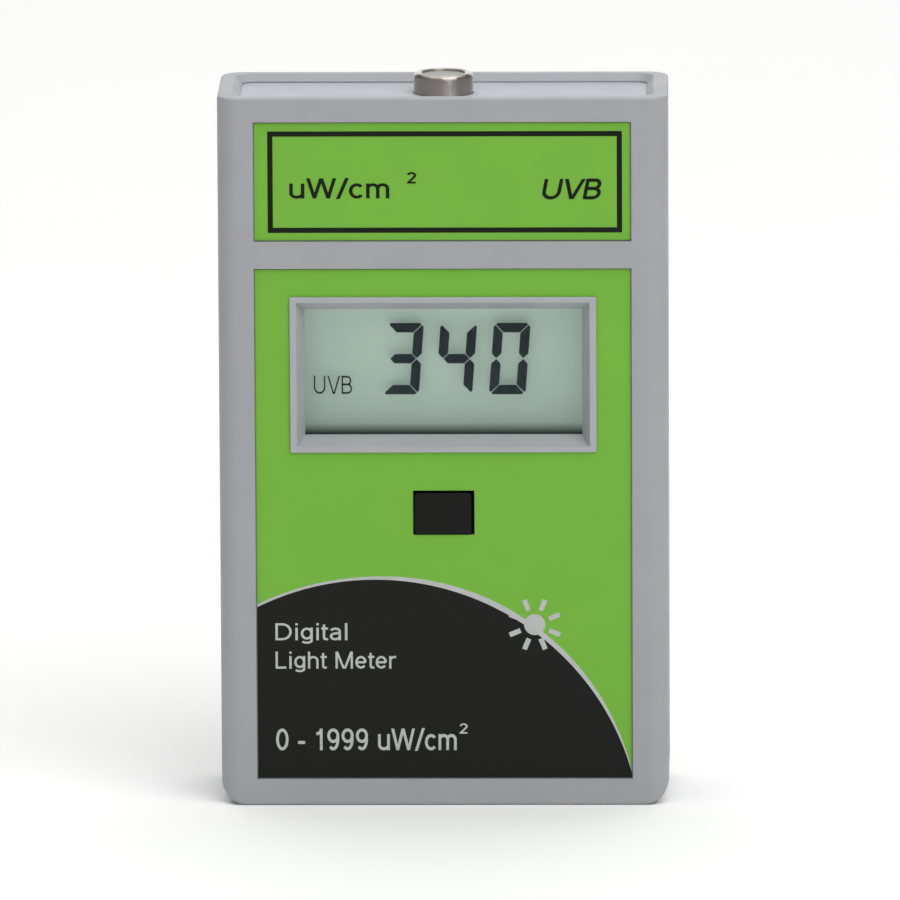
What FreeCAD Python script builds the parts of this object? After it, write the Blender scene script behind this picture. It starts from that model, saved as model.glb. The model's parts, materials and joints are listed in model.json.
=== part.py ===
"""Handheld digital light meter: a two-shell plastic case with a metal sensor can in its top end,
a recessed liquid crystal display, a push button, and a nine volt battery behind a sliding door.

Units are millimetres. The meter stands upright on its foot. The origin is the centre of the
case's outline on that foot: +X runs to the reader's right, +Y from the display face to the back,
and +Z up the case to the sensor.
"""

import FreeCAD
import Part
import math
import os

V = FreeCAD.Vector
X_AXIS = V(1, 0, 0)
Y_AXIS = V(0, 1, 0)
Z_AXIS = V(0, 0, 1)
OVERSHOOT = 5.0  # how far a cutting tool runs past the face it cuts

# ---- Case -------------------------------------------------------------------------------------
WIDTH = 61.0
DEPTH = 22.9
HEIGHT = 97.6
FRONT_EDGE_R = 2.8
BACK_EDGE_R = 3.0
FOOT_CORNER_R = 3.5
FOOT_EDGE_R = 0.5  # along the foot's front edge, much less than the front face's sides
RIM_EDGE_R = 0.4
FRONT_Y = -DEPTH / 2
BACK_Y = DEPTH / 2

SIDE_WALL = 2.6
FRONT_WALL = 2.4
BACK_WALL = 2.2
FOOT_WALL = 2.4
CAVITY_X = WIDTH / 2 - SIDE_WALL
CAVITY_FRONT_Y = FRONT_Y + FRONT_WALL
CAVITY_BACK_Y = BACK_Y - BACK_WALL
CAVITY_CORNER_R = 1.5

SPLIT_Y = 0.6  # the plane where the two shells meet
SEAM_WIDTH = 0.3
SEAM_DEPTH = 0.3
LIP_HEIGHT = 1.0  # the front shell's inner lip stands this far into the back shell
LIP_THICK = 1.1
LIP_GAP = 0.08

# ---- End panel, held in a groove of both shells below the case's rim ---------------------------
RIM_DROP = 1.15  # from the rim down to the panel's outer face
PANEL_THICK = 1.9
PANEL_TOP_Z = HEIGHT - RIM_DROP
PANEL_BOTTOM_Z = PANEL_TOP_Z - PANEL_THICK
PANEL_X = 28.4
PANEL_FRONT_Y = -9.5
PANEL_BACK_Y = 9.7
PANEL_CORNER_R = 1.0
GROOVE_GAP = 0.1
RIM_X = 27.6
RIM_FRONT_Y = -8.85
RIM_BACK_Y = 8.95
RIM_CORNER_R = 1.8
RIM_SLOPE = 0.95  # the mouth widens by this much up to the rim, at 45 degrees

# ---- Sensor, a round metal can that stands through the end panel -------------------------------
SENSOR_Y = 0.6
CAN_R = 4.05
CAN_WALL = 0.3
CAN_TOP_Z = HEIGHT + 1.65
CAN_BOTTOM_Z = 92.8
CAN_EDGE_R = 0.55
CAN_WINDOW_R = 2.95
PANEL_HOLE_R = 4.15
DIFFUSER_R = 3.6
DIFFUSER_THICK = 0.5
HEADER_R = 4.6
HEADER_THICK = 0.9
HEADER_PLUG_R = 3.7
HEADER_PLUG_HEIGHT = 0.8
DIE_SIDE = 2.4
DIE_THICK = 0.4
RETAINER_R = 6.0
SENSOR_LEAD_R = 0.225
SENSOR_LEAD_CIRCLE_R = 2.54
SENSOR_LEAD_FORM = 1.2  # each lead is bent back by this much so that it lands behind the board

# ---- Overlays in shallow recesses of the face ---------------------------------------------------
RECESS_X = 25.6
RECESS_DEPTH = 0.6
OVERLAY_THICK = 0.2
OVERLAY_GAP = 0.15  # between an overlay and the edge of its recess
UPPER_RECESS_Z = (77.9, 94.3)
LOWER_RECESS_Z = (3.65, 74.2)
OVERLAY_BACK_Y = FRONT_Y + RECESS_DEPTH
OVERLAY_FACE_Y = OVERLAY_BACK_Y - OVERLAY_THICK

# ---- Display ------------------------------------------------------------------------------------
DISPLAY_Z = 59.55
BEZEL_FACE_Y = FRONT_Y  # the bezel's rim is level with the case's face
BEZEL_BACK_Y = -6.9
BEZEL_HALF = (20.8, 10.7)
BEZEL_BODY_HALF = (20.35, 10.3)
BEZEL_MOUTH_HALF = (19.9, 9.97)
BEZEL_THROAT_HALF = (18.85, 8.7)
BEZEL_THROAT_Y = -8.9
WINDOW_HALF = (19.65, 9.55)
WINDOW_FRONT_Y = -8.3
WINDOW_THICK = 1.0
APERTURE_GAP = 0.1

FRONT_GLASS_HALF = (21.75, 12.75)
REAR_GLASS_HALF = (21.75, 10.2)
GLASS_THICK = 1.0
CELL_GAP = 0.1
FRONT_GLASS_Y = BEZEL_BACK_Y
REAR_GLASS_Y = FRONT_GLASS_Y + GLASS_THICK + CELL_GAP
REFLECTOR_THICK = 0.3
SEAL_WIDTH = 0.8
CARRIER_HALF = (23.5, 14.25)
CARRIER_GAP = 0.15
STRIP_HALF_LENGTH = 20.0
STRIP_WIDTH = 1.8
STRIP_OFFSET_Z = 11.6

# ---- Circuit board ------------------------------------------------------------------------------
BOARD_FRONT_Y = -1.5
BOARD_THICK = 1.6
BOARD_BACK_Y = BOARD_FRONT_Y + BOARD_THICK
BOARD_X = 26.0
BOARD_Z = (33.2, 90.5)
BOARD_NOTCH_X = 22.2
BOARD_NOTCH_Z = (38.7, 87.9)
POST_X = 23.5
POST_Z = (42.0, 80.0)
POST_R = 2.2
POST_PILOT_R = 0.9
BOARD_HOLE_R = 1.2
BOARD_SCREW_HEAD_R = 1.9
BOARD_SCREW_HEAD = 1.2
BOARD_SCREW_LENGTH = 6.0

# ---- What stands on the board -------------------------------------------------------------------
CHIP_HALF = 5.0
CHIP_Y = (-3.7, -1.7)
CHIP_X = -2.0
CHIP_PINS_A_SIDE = 11
CHIP_PIN_PITCH = 0.8
CHIP_PIN_WIDTH = 0.35
CHIP_PIN_THICK = 0.2
CHIP_PIN_REACH = 1.2
AMPLIFIER_HALF = (4.8, 3.2)
AMPLIFIER_PLACE = (-10.0, 52.0)
AMPLIFIER_Y = (0.6, 3.9)
AMPLIFIER_PINS_A_SIDE = 4
AMPLIFIER_PIN_PITCH = 2.54
AMPLIFIER_PIN_HALF = 0.25
AMPLIFIER_PIN_REACH = 0.9
FILM_CAPACITOR_HALF = (3.6, 1.3)
FILM_CAPACITOR_HEIGHT = 5.8
FILM_CAPACITOR_PLACES = ((6.0, 66.0), (6.0, 61.5), (6.0, 57.0), (-12.0, 66.0))
ELECTROLYTIC_R = 3.1
ELECTROLYTIC_HEIGHT = 7.0
ELECTROLYTIC_PLACE = (12.0, 48.0)
RESISTOR_R = 0.95
RESISTOR_HALF_LENGTH = 2.1
RESISTOR_LEAD_R = 0.25
RESISTOR_LEAD_REACH = 4.2
RESISTOR_AXIS_Y = BOARD_BACK_Y + 1.2
RESISTOR_PLACES = [(-15.0, 72.5 + 2.7 * number) for number in range(5)]
RESISTOR_PLACES += [(-15.5, 42.5), (-5.0, 42.5), (-5.0, 45.5)]
TRIMMER_PLACE = (12.5, 78.0)
TRIMMER_HALF = (4.75, 4.75)
TRIMMER_HEIGHT = 4.8
TRIMMER_ROTOR_R = 2.7
TRIMMER_ROTOR_DEPTH = 1.5
TRIMMER_ROTOR_GAP = 0.06
TRIMMER_SLOT_WIDTH = 0.8

# ---- Case screws --------------------------------------------------------------------------------
BOSS_X = 25.3
BOSS_Z = (35.6, 91.0)
BOSS_R = 2.75
BOSS_PILOT_R = 1.1
BOSS_PILOT_Y = -7.5
TUBE_R = 3.4
TUBE_BORE_R = 1.6
COUNTERBORE_R = 2.5
COUNTERBORE_DEPTH = 4.0
SCREW_HEAD_R = 2.3
SCREW_HEAD = 1.7
SCREW_LENGTH = 13.5
SCREW_CLEARANCE = 0.02
CROSS_WIDTH = 0.65
CROSS_DEPTH = 0.9

# ---- Push button and switch ---------------------------------------------------------------------
BUTTON_Z = 40.5
BUTTON_HOLE_HALF = (4.17, 3.06)
BUTTON_HOLE_MARGIN = 0.2  # the case's hole is this much larger than the overlay's on each side
CAP_HALF = (3.87, 2.82)
CAP_OFFSET = (-0.12, -0.12)
CAP_PROUD = 0.3  # above the overlay
CAP_DEPTH = 3.0
CAP_FLANGE_HALF = (4.7, 3.7)
CAP_FLANGE_THICK = 0.55
CAP_EDGE_R = 0.45
PLUNGER_HALF = 1.6
PLUNGER_SOCKET = 1.9
COLLAR_HALF = 2.6
COLLAR_Y = (-6.1, -5.4)
SWITCH_HALF = 4.2
SWITCH_FRONT_Y = -6.9
SWITCH_CAVITY_HALF = 2.8
SWITCH_CAVITY_Y = (-6.2, -2.2)
SWITCH_BORE_HALF = 1.7
SPRING_R = 1.6
SPRING_WIRE_R = 0.2
SPRING_TURNS = 4
SPRING_WIRE_SIDES = 8

# ---- Battery and its door -----------------------------------------------------------------------
BATTERY_X = (-26.9, 19.3)
BATTERY_Y = (-8.35, 9.05)
BATTERY_Z = (FOOT_WALL, FOOT_WALL + 26.3)
BATTERY_EDGE_R = 2.0
TERMINAL_SPACING = 12.7
TERMINAL_HEIGHT = 2.4
STUD_R = 2.85
CROWN_R = 3.9
CROWN_BORE_R = 3.05
CROWN_FLOOR = 0.4
SNAP_X = (21.8, 24.6)
SNAP_HALF_Y = 6.0
SNAP_HALF_Z = 12.2
SNAP_CORNER_R = 5.5
FOAM_THICK = 0.7
FOAM_X = (-20.0, 14.0)
FOAM_Z = (7.0, 26.0)
LEAD_R = 0.55
LEAD_BEHIND_BOARD_Y = 2.8

DOOR_X = 24.95
DOOR_TOP_Z = 31.1
DOOR_GAP = 0.1
DOOR_INNER_Y = CAVITY_BACK_Y + 0.05
TONGUE_REACH = 1.1
TONGUE_Y = (9.9, 10.7)
TONGUE_GAP = 0.05
TONGUE_FOOT_Z = 1.5
GRIP_GROOVES = 6
GRIP_HALF_LENGTH = 9.0
GRIP_PITCH = 1.7
GRIP_WIDTH = 0.85
GRIP_DEPTH = 0.55
GRIP_TOP_Z = 27.5
ARROW_TOP_Z = 14.5
ARROW_HALF = 4.0
ARROW_HEIGHT = 5.0
ARROW_DEPTH = 0.4
PARTITION_Z = (31.35, 32.75)
PARTITION_FRONT_Y = -8.9
PARTITION_NOTCH_X = (17.5, 24.0)
PARTITION_NOTCH_Y = (-2.5, 4.5)

REAR_RECESS_X = 21.0
REAR_RECESS_Z = (40.5, 86.0)
REAR_RECESS_DEPTH = 0.35
REAR_LABEL_THICK = 0.2


# ---- Shape helpers ------------------------------------------------------------------------------
def block(x, y, z):
    """A box between pairs of limits."""
    corner = V(x[0], y[0], z[0])
    return Part.makeBox(x[1] - x[0], y[1] - y[0], z[1] - z[0], corner)


def slab(half, centre_z, y, centre_x=0.0):
    """A box given by its half width and half height about a centre, and its limits in depth."""
    x = (centre_x - half[0], centre_x + half[0])
    z = (centre_z - half[1], centre_z + half[1])
    return block(x, y, z)


def rod(radius, start, end):
    """A round bar between two points."""
    run = end - start
    return Part.makeCylinder(radius, run.Length, start, run)


def fuse(shapes):
    """All the shapes as one, with the faces between them removed."""
    first, rest = shapes[0], list(shapes[1:])
    return first.fuse(rest).removeSplitter() if rest else first


def round_edges(shape, radius, chosen):
    """Fillets the edges for which chosen(edge) is true."""
    return shape.makeFillet(radius, [edge for edge in shape.Edges if chosen(edge)])


def lies_along(edge, axis):
    """Whether a straight edge runs parallel to an axis."""
    if not isinstance(edge.Curve, Part.Line):
        return False
    run = edge.Vertexes[-1].Point - edge.Vertexes[0].Point
    return run.cross(axis).Length < 1e-6 * max(run.Length, 1.0)


def in_plane(edge, axis, level):
    """Whether an edge lies in the plane at this level on an axis."""
    box = edge.BoundBox
    low = V(box.XMin, box.YMin, box.ZMin).dot(axis)
    high = V(box.XMax, box.YMax, box.ZMax).dot(axis)
    return abs(low - level) < 1e-3 and abs(high - level) < 1e-3


def tapered_hole(front_half, front_y, back_half, back_y, centre_z):
    """A four-sided funnel along Y."""
    wires = []
    for half, y in ((front_half, front_y), (back_half, back_y)):
        corners = [
            V(sx * half[0], y, centre_z + sz * half[1])
            for sx, sz in ((-1, -1), (1, -1), (1, 1), (-1, 1))
        ]
        wires.append(Part.makePolygon(corners + corners[:1]))
    return Part.makeLoft(wires, True, True)


def bent_wire(points, radius):
    """A round wire along straight runs joined by tangent arcs as large as the runs allow."""
    pieces = []
    last = points[0]
    for before, corner, after in zip(points, points[1:], points[2:]):
        arriving = (corner - before).normalize()
        leaving = (after - corner).normalize()
        turn = arriving.getAngle(leaving)
        reach = 0.45 * min((corner - before).Length, (after - corner).Length)
        bend_radius = reach / math.tan(turn / 2)
        start = corner - arriving * reach
        end = corner + leaving * reach
        inward = (leaving - arriving).normalize()
        middle = corner + inward * (bend_radius / math.cos(turn / 2) - bend_radius)
        pieces.append(Part.LineSegment(last, start).toShape())
        pieces.append(Part.Arc(start, middle, end).toShape())
        last = end
    pieces.append(Part.LineSegment(last, points[-1]).toShape())
    path = Part.Wire(pieces)
    section = Part.Wire([Part.makeCircle(radius, points[0], points[1] - points[0])])
    return path.makePipeShell([section], True, True)


def on_both_sides(x, levels):
    """The four places given by one distance from the middle and two heights."""
    return [(side * x, z) for side in (-1, 1) for z in levels]


# ---- Case envelope and what the shells share ----------------------------------------------------
def case_envelope():
    """The closed outer form of the case, before it is hollowed and split."""

    def foot_side(edge):
        return in_plane(edge, Z_AXIS, 0) and edge.BoundBox.YLength > DEPTH / 2

    def back_outline(edge):
        return in_plane(edge, Y_AXIS, BACK_Y) and edge.BoundBox.ZMin < HEIGHT - 1

    def front_side(edge):
        return in_plane(edge, Y_AXIS, FRONT_Y) and lies_along(edge, Z_AXIS)

    def foot_front(edge):
        return in_plane(edge, Y_AXIS, FRONT_Y) and in_plane(edge, Z_AXIS, 0)

    x = (-WIDTH / 2, WIDTH / 2)
    body = round_edges(block(x, (FRONT_Y, BACK_Y), (0, HEIGHT)), FOOT_CORNER_R, foot_side)
    body = round_edges(body, BACK_EDGE_R, back_outline)
    plan = block(x, (FRONT_Y, BACK_Y), (-OVERSHOOT, HEIGHT + OVERSHOOT))
    body = body.common(round_edges(plan, FRONT_EDGE_R, front_side))
    body = round_edges(body, FOOT_EDGE_R, foot_front)  # runs on round both foot corners
    return round_edges(body, RIM_EDGE_R, lambda edge: in_plane(edge, Z_AXIS, HEIGHT))


def case_cavity():
    """The space inside the case: the main room, the end panel's groove, and the rim's mouth."""
    room_top = PANEL_BOTTOM_Z
    room = block((-CAVITY_X, CAVITY_X), (CAVITY_FRONT_Y, CAVITY_BACK_Y), (FOOT_WALL, room_top))
    room = round_edges(room, CAVITY_CORNER_R, lambda edge: lies_along(edge, Z_AXIS))
    groove_x = PANEL_X + GROOVE_GAP
    groove_y = (PANEL_FRONT_Y - GROOVE_GAP, PANEL_BACK_Y + GROOVE_GAP)
    groove_top = PANEL_TOP_Z + GROOVE_GAP / 2
    groove = block((-groove_x, groove_x), groove_y, (room_top, groove_top))
    mouth_z = (groove_top, HEIGHT + OVERSHOOT)
    mouth = block((-RIM_X, RIM_X), (RIM_FRONT_Y, RIM_BACK_Y), mouth_z)
    mouth = round_edges(mouth, RIM_CORNER_R, lambda edge: lies_along(edge, Z_AXIS))
    slope_x = RIM_X + RIM_SLOPE
    slope_y = (RIM_FRONT_Y - RIM_SLOPE, RIM_BACK_Y + RIM_SLOPE)
    slope = block((-slope_x, slope_x), slope_y, (HEIGHT - RIM_SLOPE, HEIGHT + OVERSHOOT))
    slope = round_edges(slope, RIM_CORNER_R + RIM_SLOPE, lambda edge: lies_along(edge, Z_AXIS))
    slope_foot = [edge for edge in slope.Edges if in_plane(edge, Z_AXIS, HEIGHT - RIM_SLOPE)]
    mouth = mouth.fuse(slope.makeChamfer(RIM_SLOPE, slope_foot))
    return fuse([room, groove, mouth])


def seam_cutter():
    """A frame that cuts the narrow shadow line round the case where the shells meet."""
    y = (SPLIT_Y - SEAM_WIDTH / 2, SPLIT_Y + SEAM_WIDTH / 2)
    half = WIDTH / 2 - SEAM_DEPTH
    outside = block((-WIDTH, WIDTH), y, (-OVERSHOOT, HEIGHT + OVERSHOOT))
    inside = block((-half, half), y, (SEAM_DEPTH, HEIGHT + 2 * OVERSHOOT))
    inner_r = FOOT_CORNER_R - SEAM_DEPTH

    def low_side(edge):
        return lies_along(edge, Y_AXIS) and in_plane(edge, Z_AXIS, SEAM_DEPTH)

    return outside.cut(round_edges(inside, inner_r, low_side))


def lip_ring(gap):
    """The ring on which the shells locate, grown by a gap for the recess that takes it."""
    half = CAVITY_X + LIP_THICK + gap
    y = (SPLIT_Y, SPLIT_Y + LIP_HEIGHT + gap)
    foot = FOOT_WALL - LIP_THICK - gap
    top = PANEL_BOTTOM_Z - 2 * LIP_THICK
    ring = block((-half, half), y, (foot, top + gap))
    hollow_z = (FOOT_WALL, top + OVERSHOOT)
    hollow = block((-CAVITY_X, CAVITY_X), (y[0] - 1, y[1] + 1), hollow_z)
    return ring.cut(hollow)


ENVELOPE = case_envelope()
CAVITY = case_cavity()
SHELL = ENVELOPE.cut(CAVITY)
SEAM = seam_cutter()
EVERYWHERE = (-WIDTH, WIDTH)
ALL_HEIGHTS = (-OVERSHOOT, HEIGHT + OVERSHOOT)


# ---- Case parts ---------------------------------------------------------------------------------
def front_shell():
    shell = SHELL.common(block(EVERYWHERE, (FRONT_Y - OVERSHOOT, SPLIT_Y), ALL_HEIGHTS))
    shell = shell.cut(SEAM)
    posts = []
    pilots = []
    for x, z in on_both_sides(BOSS_X, BOSS_Z):
        foot = V(x, CAVITY_FRONT_Y - 0.2, z)
        posts.append(rod(BOSS_R, foot, V(x, SPLIT_Y - GROOVE_GAP, z)))
        pilots.append(rod(BOSS_PILOT_R, V(x, BOSS_PILOT_Y, z), V(x, SPLIT_Y + 1, z)))
    for x, z in on_both_sides(POST_X, POST_Z):
        foot = V(x, CAVITY_FRONT_Y - 0.2, z)
        posts.append(rod(POST_R, foot, V(x, BOARD_FRONT_Y, z)))
        pilots.append(rod(POST_PILOT_R, V(x, BOSS_PILOT_Y, z), V(x, SPLIT_Y, z)))
    shell = fuse([shell, lip_ring(0.0)] + posts)
    upper = block((-RECESS_X, RECESS_X), (FRONT_Y - OVERSHOOT, OVERLAY_BACK_Y), UPPER_RECESS_Z)
    lower = block((-RECESS_X, RECESS_X), (FRONT_Y - OVERSHOOT, OVERLAY_BACK_Y), LOWER_RECESS_Z)
    through = (FRONT_Y - OVERSHOOT, CAVITY_FRONT_Y + 1)
    aperture_half = [half + APERTURE_GAP for half in BEZEL_BODY_HALF]
    aperture = slab(aperture_half, DISPLAY_Z, through)
    button_half = [half + BUTTON_HOLE_MARGIN for half in BUTTON_HOLE_HALF]
    button_hole = slab(button_half, BUTTON_Z, through)
    return shell.cut([upper, lower, aperture, button_hole] + pilots)


def rear_shell():
    shell = SHELL.common(block(EVERYWHERE, (SPLIT_Y, BACK_Y + OVERSHOOT), ALL_HEIGHTS))
    shell = shell.cut([SEAM, lip_ring(LIP_GAP)])
    tubes = []
    bores = []
    seat_y = BACK_Y - COUNTERBORE_DEPTH
    for x, z in on_both_sides(BOSS_X, BOSS_Z):
        tubes.append(rod(TUBE_R, V(x, SPLIT_Y, z), V(x, CAVITY_BACK_Y + 0.2, z)))
        bores.append(rod(TUBE_BORE_R, V(x, SPLIT_Y - 1, z), V(x, seat_y + 1, z)))
        bores.append(rod(COUNTERBORE_R, V(x, seat_y, z), V(x, BACK_Y + 1, z)))
    inside = block((-CAVITY_X - 0.5, CAVITY_X + 0.5), (SPLIT_Y, BACK_Y), ALL_HEIGHTS)
    lip_room = lip_ring(LIP_GAP)
    tubes = [tube.common(inside).cut(lip_room) for tube in tubes]
    wall_x = CAVITY_X - GROOVE_GAP
    deep_part = block((-wall_x, wall_x), (PARTITION_FRONT_Y, SPLIT_Y + 2), PARTITION_Z)

    def front_corner(edge):
        return lies_along(edge, Z_AXIS) and in_plane(edge, Y_AXIS, PARTITION_FRONT_Y)

    deep_part = round_edges(deep_part, CAVITY_CORNER_R, front_corner)
    wide_part = block(
        (-CAVITY_X - 0.2, CAVITY_X + 0.2), (SPLIT_Y + 2, CAVITY_BACK_Y + 0.2), PARTITION_Z
    )
    notch = block(PARTITION_NOTCH_X, PARTITION_NOTCH_Y, (PARTITION_Z[0] - 1, PARTITION_Z[1] + 1))
    partition = fuse([deep_part, wide_part]).cut(notch)
    shell = fuse([shell, partition] + tubes)
    doorway = block(
        (-DOOR_X - DOOR_GAP, DOOR_X + DOOR_GAP),
        (CAVITY_BACK_Y, BACK_Y + OVERSHOOT),
        (-OVERSHOOT, DOOR_TOP_Z + DOOR_GAP),
    )
    grooves = [tongue(side, TONGUE_GAP, -OVERSHOOT) for side in (-1, 1)]
    label_y = (BACK_Y - REAR_RECESS_DEPTH, BACK_Y + OVERSHOOT)
    label_room = block((-REAR_RECESS_X, REAR_RECESS_X), label_y, REAR_RECESS_Z)
    return shell.cut([doorway, label_room] + grooves + bores)


def tongue(side, gap, foot_z):
    """A side rail of the battery door; with a gap it is the groove that the rail runs in."""
    near = DOOR_X - 0.1
    far = DOOR_X + TONGUE_REACH + gap
    x = (near, far) if side > 0 else (-far, -near)
    return block(x, (TONGUE_Y[0] - gap, TONGUE_Y[1] + gap), (foot_z, DOOR_TOP_Z + gap))


def battery_door():
    panel = block((-DOOR_X, DOOR_X), (DOOR_INNER_Y, BACK_Y + 1), (-1, DOOR_TOP_Z))
    door = fuse([panel.common(ENVELOPE)] + [tongue(side, 0.0, TONGUE_FOOT_Z) for side in (-1, 1)])
    cuts = []
    for number in range(GRIP_GROOVES):
        top = GRIP_TOP_Z - number * GRIP_PITCH
        grip_y = (BACK_Y - GRIP_DEPTH, BACK_Y + 1)
        cuts.append(block((-GRIP_HALF_LENGTH, GRIP_HALF_LENGTH), grip_y, (top - GRIP_WIDTH, top)))
    arrow_y = BACK_Y - ARROW_DEPTH
    points = [
        V(-ARROW_HALF, arrow_y, ARROW_TOP_Z),
        V(ARROW_HALF, arrow_y, ARROW_TOP_Z),
        V(0, arrow_y, ARROW_TOP_Z - ARROW_HEIGHT),
    ]
    arrow = Part.Face(Part.makePolygon(points + points[:1]))
    cuts.append(arrow.extrude(Y_AXIS * 2))
    return door.cut(cuts)


def end_panel():
    z = (PANEL_BOTTOM_Z, PANEL_TOP_Z)
    plate = block((-PANEL_X, PANEL_X), (PANEL_FRONT_Y, PANEL_BACK_Y), z)
    plate = round_edges(plate, PANEL_CORNER_R, lambda edge: lies_along(edge, Z_AXIS))
    hole = rod(PANEL_HOLE_R, V(0, SENSOR_Y, z[0] - 1), V(0, SENSOR_Y, z[1] + 1))
    return plate.cut(hole)


def cross_headed_screw(x, z, seat_y, head_r, head, shank_r, length):
    """A screw driven from the back: its head's underside rests at seat_y."""
    head_top = seat_y + head
    body = rod(head_r, V(x, seat_y, z), V(x, head_top, z))
    body = round_edges(body, head * 0.35, lambda edge: in_plane(edge, Y_AXIS, head_top))
    body = fuse([body, rod(shank_r, V(x, seat_y, z), V(x, seat_y - length, z))])
    arm = head_r * 0.6
    y = (head_top - CROSS_DEPTH, head_top + 1)
    across = slab((arm, CROSS_WIDTH / 2), z, y, x)
    upright = slab((CROSS_WIDTH / 2, arm), z, y, x)
    return body.cut([across, upright])


def case_screws():
    seat_y = BACK_Y - COUNTERBORE_DEPTH
    shank_r = BOSS_PILOT_R - SCREW_CLEARANCE
    return Part.makeCompound([
        cross_headed_screw(x, z, seat_y, SCREW_HEAD_R, SCREW_HEAD, shank_r, SCREW_LENGTH)
        for x, z in on_both_sides(BOSS_X, BOSS_Z)
    ])


def overlay(z, back_y, thick, half_x, outward):
    """A thin printed sheet in its recess. outward is -1 on the face and 1 on the back."""
    x = half_x - OVERLAY_GAP
    y = sorted((back_y, back_y + outward * thick))
    return block((-x, x), y, (z[0] + OVERLAY_GAP, z[1] - OVERLAY_GAP))


def upper_overlay():
    return overlay(UPPER_RECESS_Z, OVERLAY_BACK_Y, OVERLAY_THICK, RECESS_X, -1)


def lower_overlay():
    sheet = overlay(LOWER_RECESS_Z, OVERLAY_BACK_Y, OVERLAY_THICK, RECESS_X, -1)
    through = (FRONT_Y, CAVITY_FRONT_Y)
    window_half = [half + APERTURE_GAP for half in BEZEL_BODY_HALF]
    window = slab(window_half, DISPLAY_Z, through)
    button = slab(BUTTON_HOLE_HALF, BUTTON_Z, through)
    return sheet.cut([window, button])


def rear_label():
    floor_y = BACK_Y - REAR_RECESS_DEPTH
    return overlay(REAR_RECESS_Z, floor_y, REAR_LABEL_THICK, REAR_RECESS_X, 1)


# ---- Display parts ------------------------------------------------------------------------------
def display_bezel():
    flange = slab(BEZEL_HALF, DISPLAY_Z, (BEZEL_FACE_Y, OVERLAY_FACE_Y))
    flange = round_edges(
        flange, 0.15, lambda edge: in_plane(edge, Y_AXIS, BEZEL_FACE_Y) or lies_along(edge, Y_AXIS)
    )
    body = slab(BEZEL_BODY_HALF, DISPLAY_Z, (OVERLAY_FACE_Y, BEZEL_BACK_Y))
    funnel = tapered_hole(
        BEZEL_MOUTH_HALF, BEZEL_FACE_Y, BEZEL_THROAT_HALF, BEZEL_THROAT_Y, DISPLAY_Z
    )
    throat = slab(BEZEL_THROAT_HALF, DISPLAY_Z, (BEZEL_THROAT_Y, WINDOW_FRONT_Y))
    rebate = slab(WINDOW_HALF, DISPLAY_Z, (WINDOW_FRONT_Y, BEZEL_BACK_Y + 1))
    return fuse([flange, body]).cut(fuse([funnel, throat, rebate]))


def display_window():
    return slab(WINDOW_HALF, DISPLAY_Z, (WINDOW_FRONT_Y, WINDOW_FRONT_Y + WINDOW_THICK))


def lcd_front_glass():
    return slab(FRONT_GLASS_HALF, DISPLAY_Z, (FRONT_GLASS_Y, FRONT_GLASS_Y + GLASS_THICK))


def lcd_rear_glass():
    return slab(REAR_GLASS_HALF, DISPLAY_Z, (REAR_GLASS_Y, REAR_GLASS_Y + GLASS_THICK))


def lcd_edge_seal():
    y = (FRONT_GLASS_Y + GLASS_THICK, REAR_GLASS_Y)
    inner_half = [half - SEAL_WIDTH for half in REAR_GLASS_HALF]
    return slab(REAR_GLASS_HALF, DISPLAY_Z, y).cut(slab(inner_half, DISPLAY_Z, y))


def lcd_reflector():
    back = REAR_GLASS_Y + GLASS_THICK
    return slab(REAR_GLASS_HALF, DISPLAY_Z, (back, back + REFLECTOR_THICK))


def lcd_carrier():
    y = (FRONT_GLASS_Y + 0.1, BOARD_FRONT_Y)
    pocket_half = [half + CARRIER_GAP for half in FRONT_GLASS_HALF]
    frame = slab(CARRIER_HALF, DISPLAY_Z, y)
    frame = round_edges(frame, 1.0, lambda edge: lies_along(edge, Y_AXIS))
    return frame.cut(slab(pocket_half, DISPLAY_Z, y))


def lcd_contact_strips():
    y = (FRONT_GLASS_Y + GLASS_THICK, BOARD_FRONT_Y)
    half = (STRIP_HALF_LENGTH, STRIP_WIDTH / 2)
    strips = [slab(half, DISPLAY_Z + side * STRIP_OFFSET_Z, y) for side in (-1, 1)]
    return Part.makeCompound(strips)


# ---- Circuit board and what stands on it --------------------------------------------------------
def circuit_board():
    y = (BOARD_FRONT_Y, BOARD_BACK_Y)
    board = block((-BOARD_X, BOARD_X), y, BOARD_Z)
    cuts = []
    for side in (-1, 1):
        x = sorted((side * BOARD_NOTCH_X, side * (BOARD_X + 1)))
        cuts.append(block(x, y, (BOARD_Z[0] - 1, BOARD_NOTCH_Z[0])))
        cuts.append(block(x, y, (BOARD_NOTCH_Z[1], BOARD_Z[1] + 1)))
    for x, z in on_both_sides(POST_X, POST_Z):
        cuts.append(rod(BOARD_HOLE_R, V(x, y[0] - 1, z), V(x, y[1] + 1, z)))
    return board.cut(cuts)


def board_screws():
    shank_r = POST_PILOT_R - SCREW_CLEARANCE
    screws = [
        cross_headed_screw(
            x, z, BOARD_BACK_Y, BOARD_SCREW_HEAD_R, BOARD_SCREW_HEAD, shank_r, BOARD_SCREW_LENGTH
        )
        for x, z in on_both_sides(POST_X, POST_Z)
    ]
    return Part.makeCompound(screws)


def converter_chip():
    chip = slab((CHIP_HALF, CHIP_HALF), DISPLAY_Z, CHIP_Y, CHIP_X)
    return chip.makeChamfer(0.3, [e for e in chip.Edges if in_plane(e, Y_AXIS, CHIP_Y[0])])


def gull_wing(width, reach, top_y, foot_y, thick):
    """A flat pin that leaves a chip's side at x = 0, steps down to the board and ends in a foot."""
    half = width / 2
    arm = block((0, reach * 0.5), (top_y, top_y + thick), (-half, half))
    drop = block((reach * 0.5 - thick, reach * 0.5), (top_y, foot_y), (-half, half))
    foot = block((reach * 0.5 - thick, reach), (foot_y - thick, foot_y), (-half, half))
    return fuse([arm, drop, foot])


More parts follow.
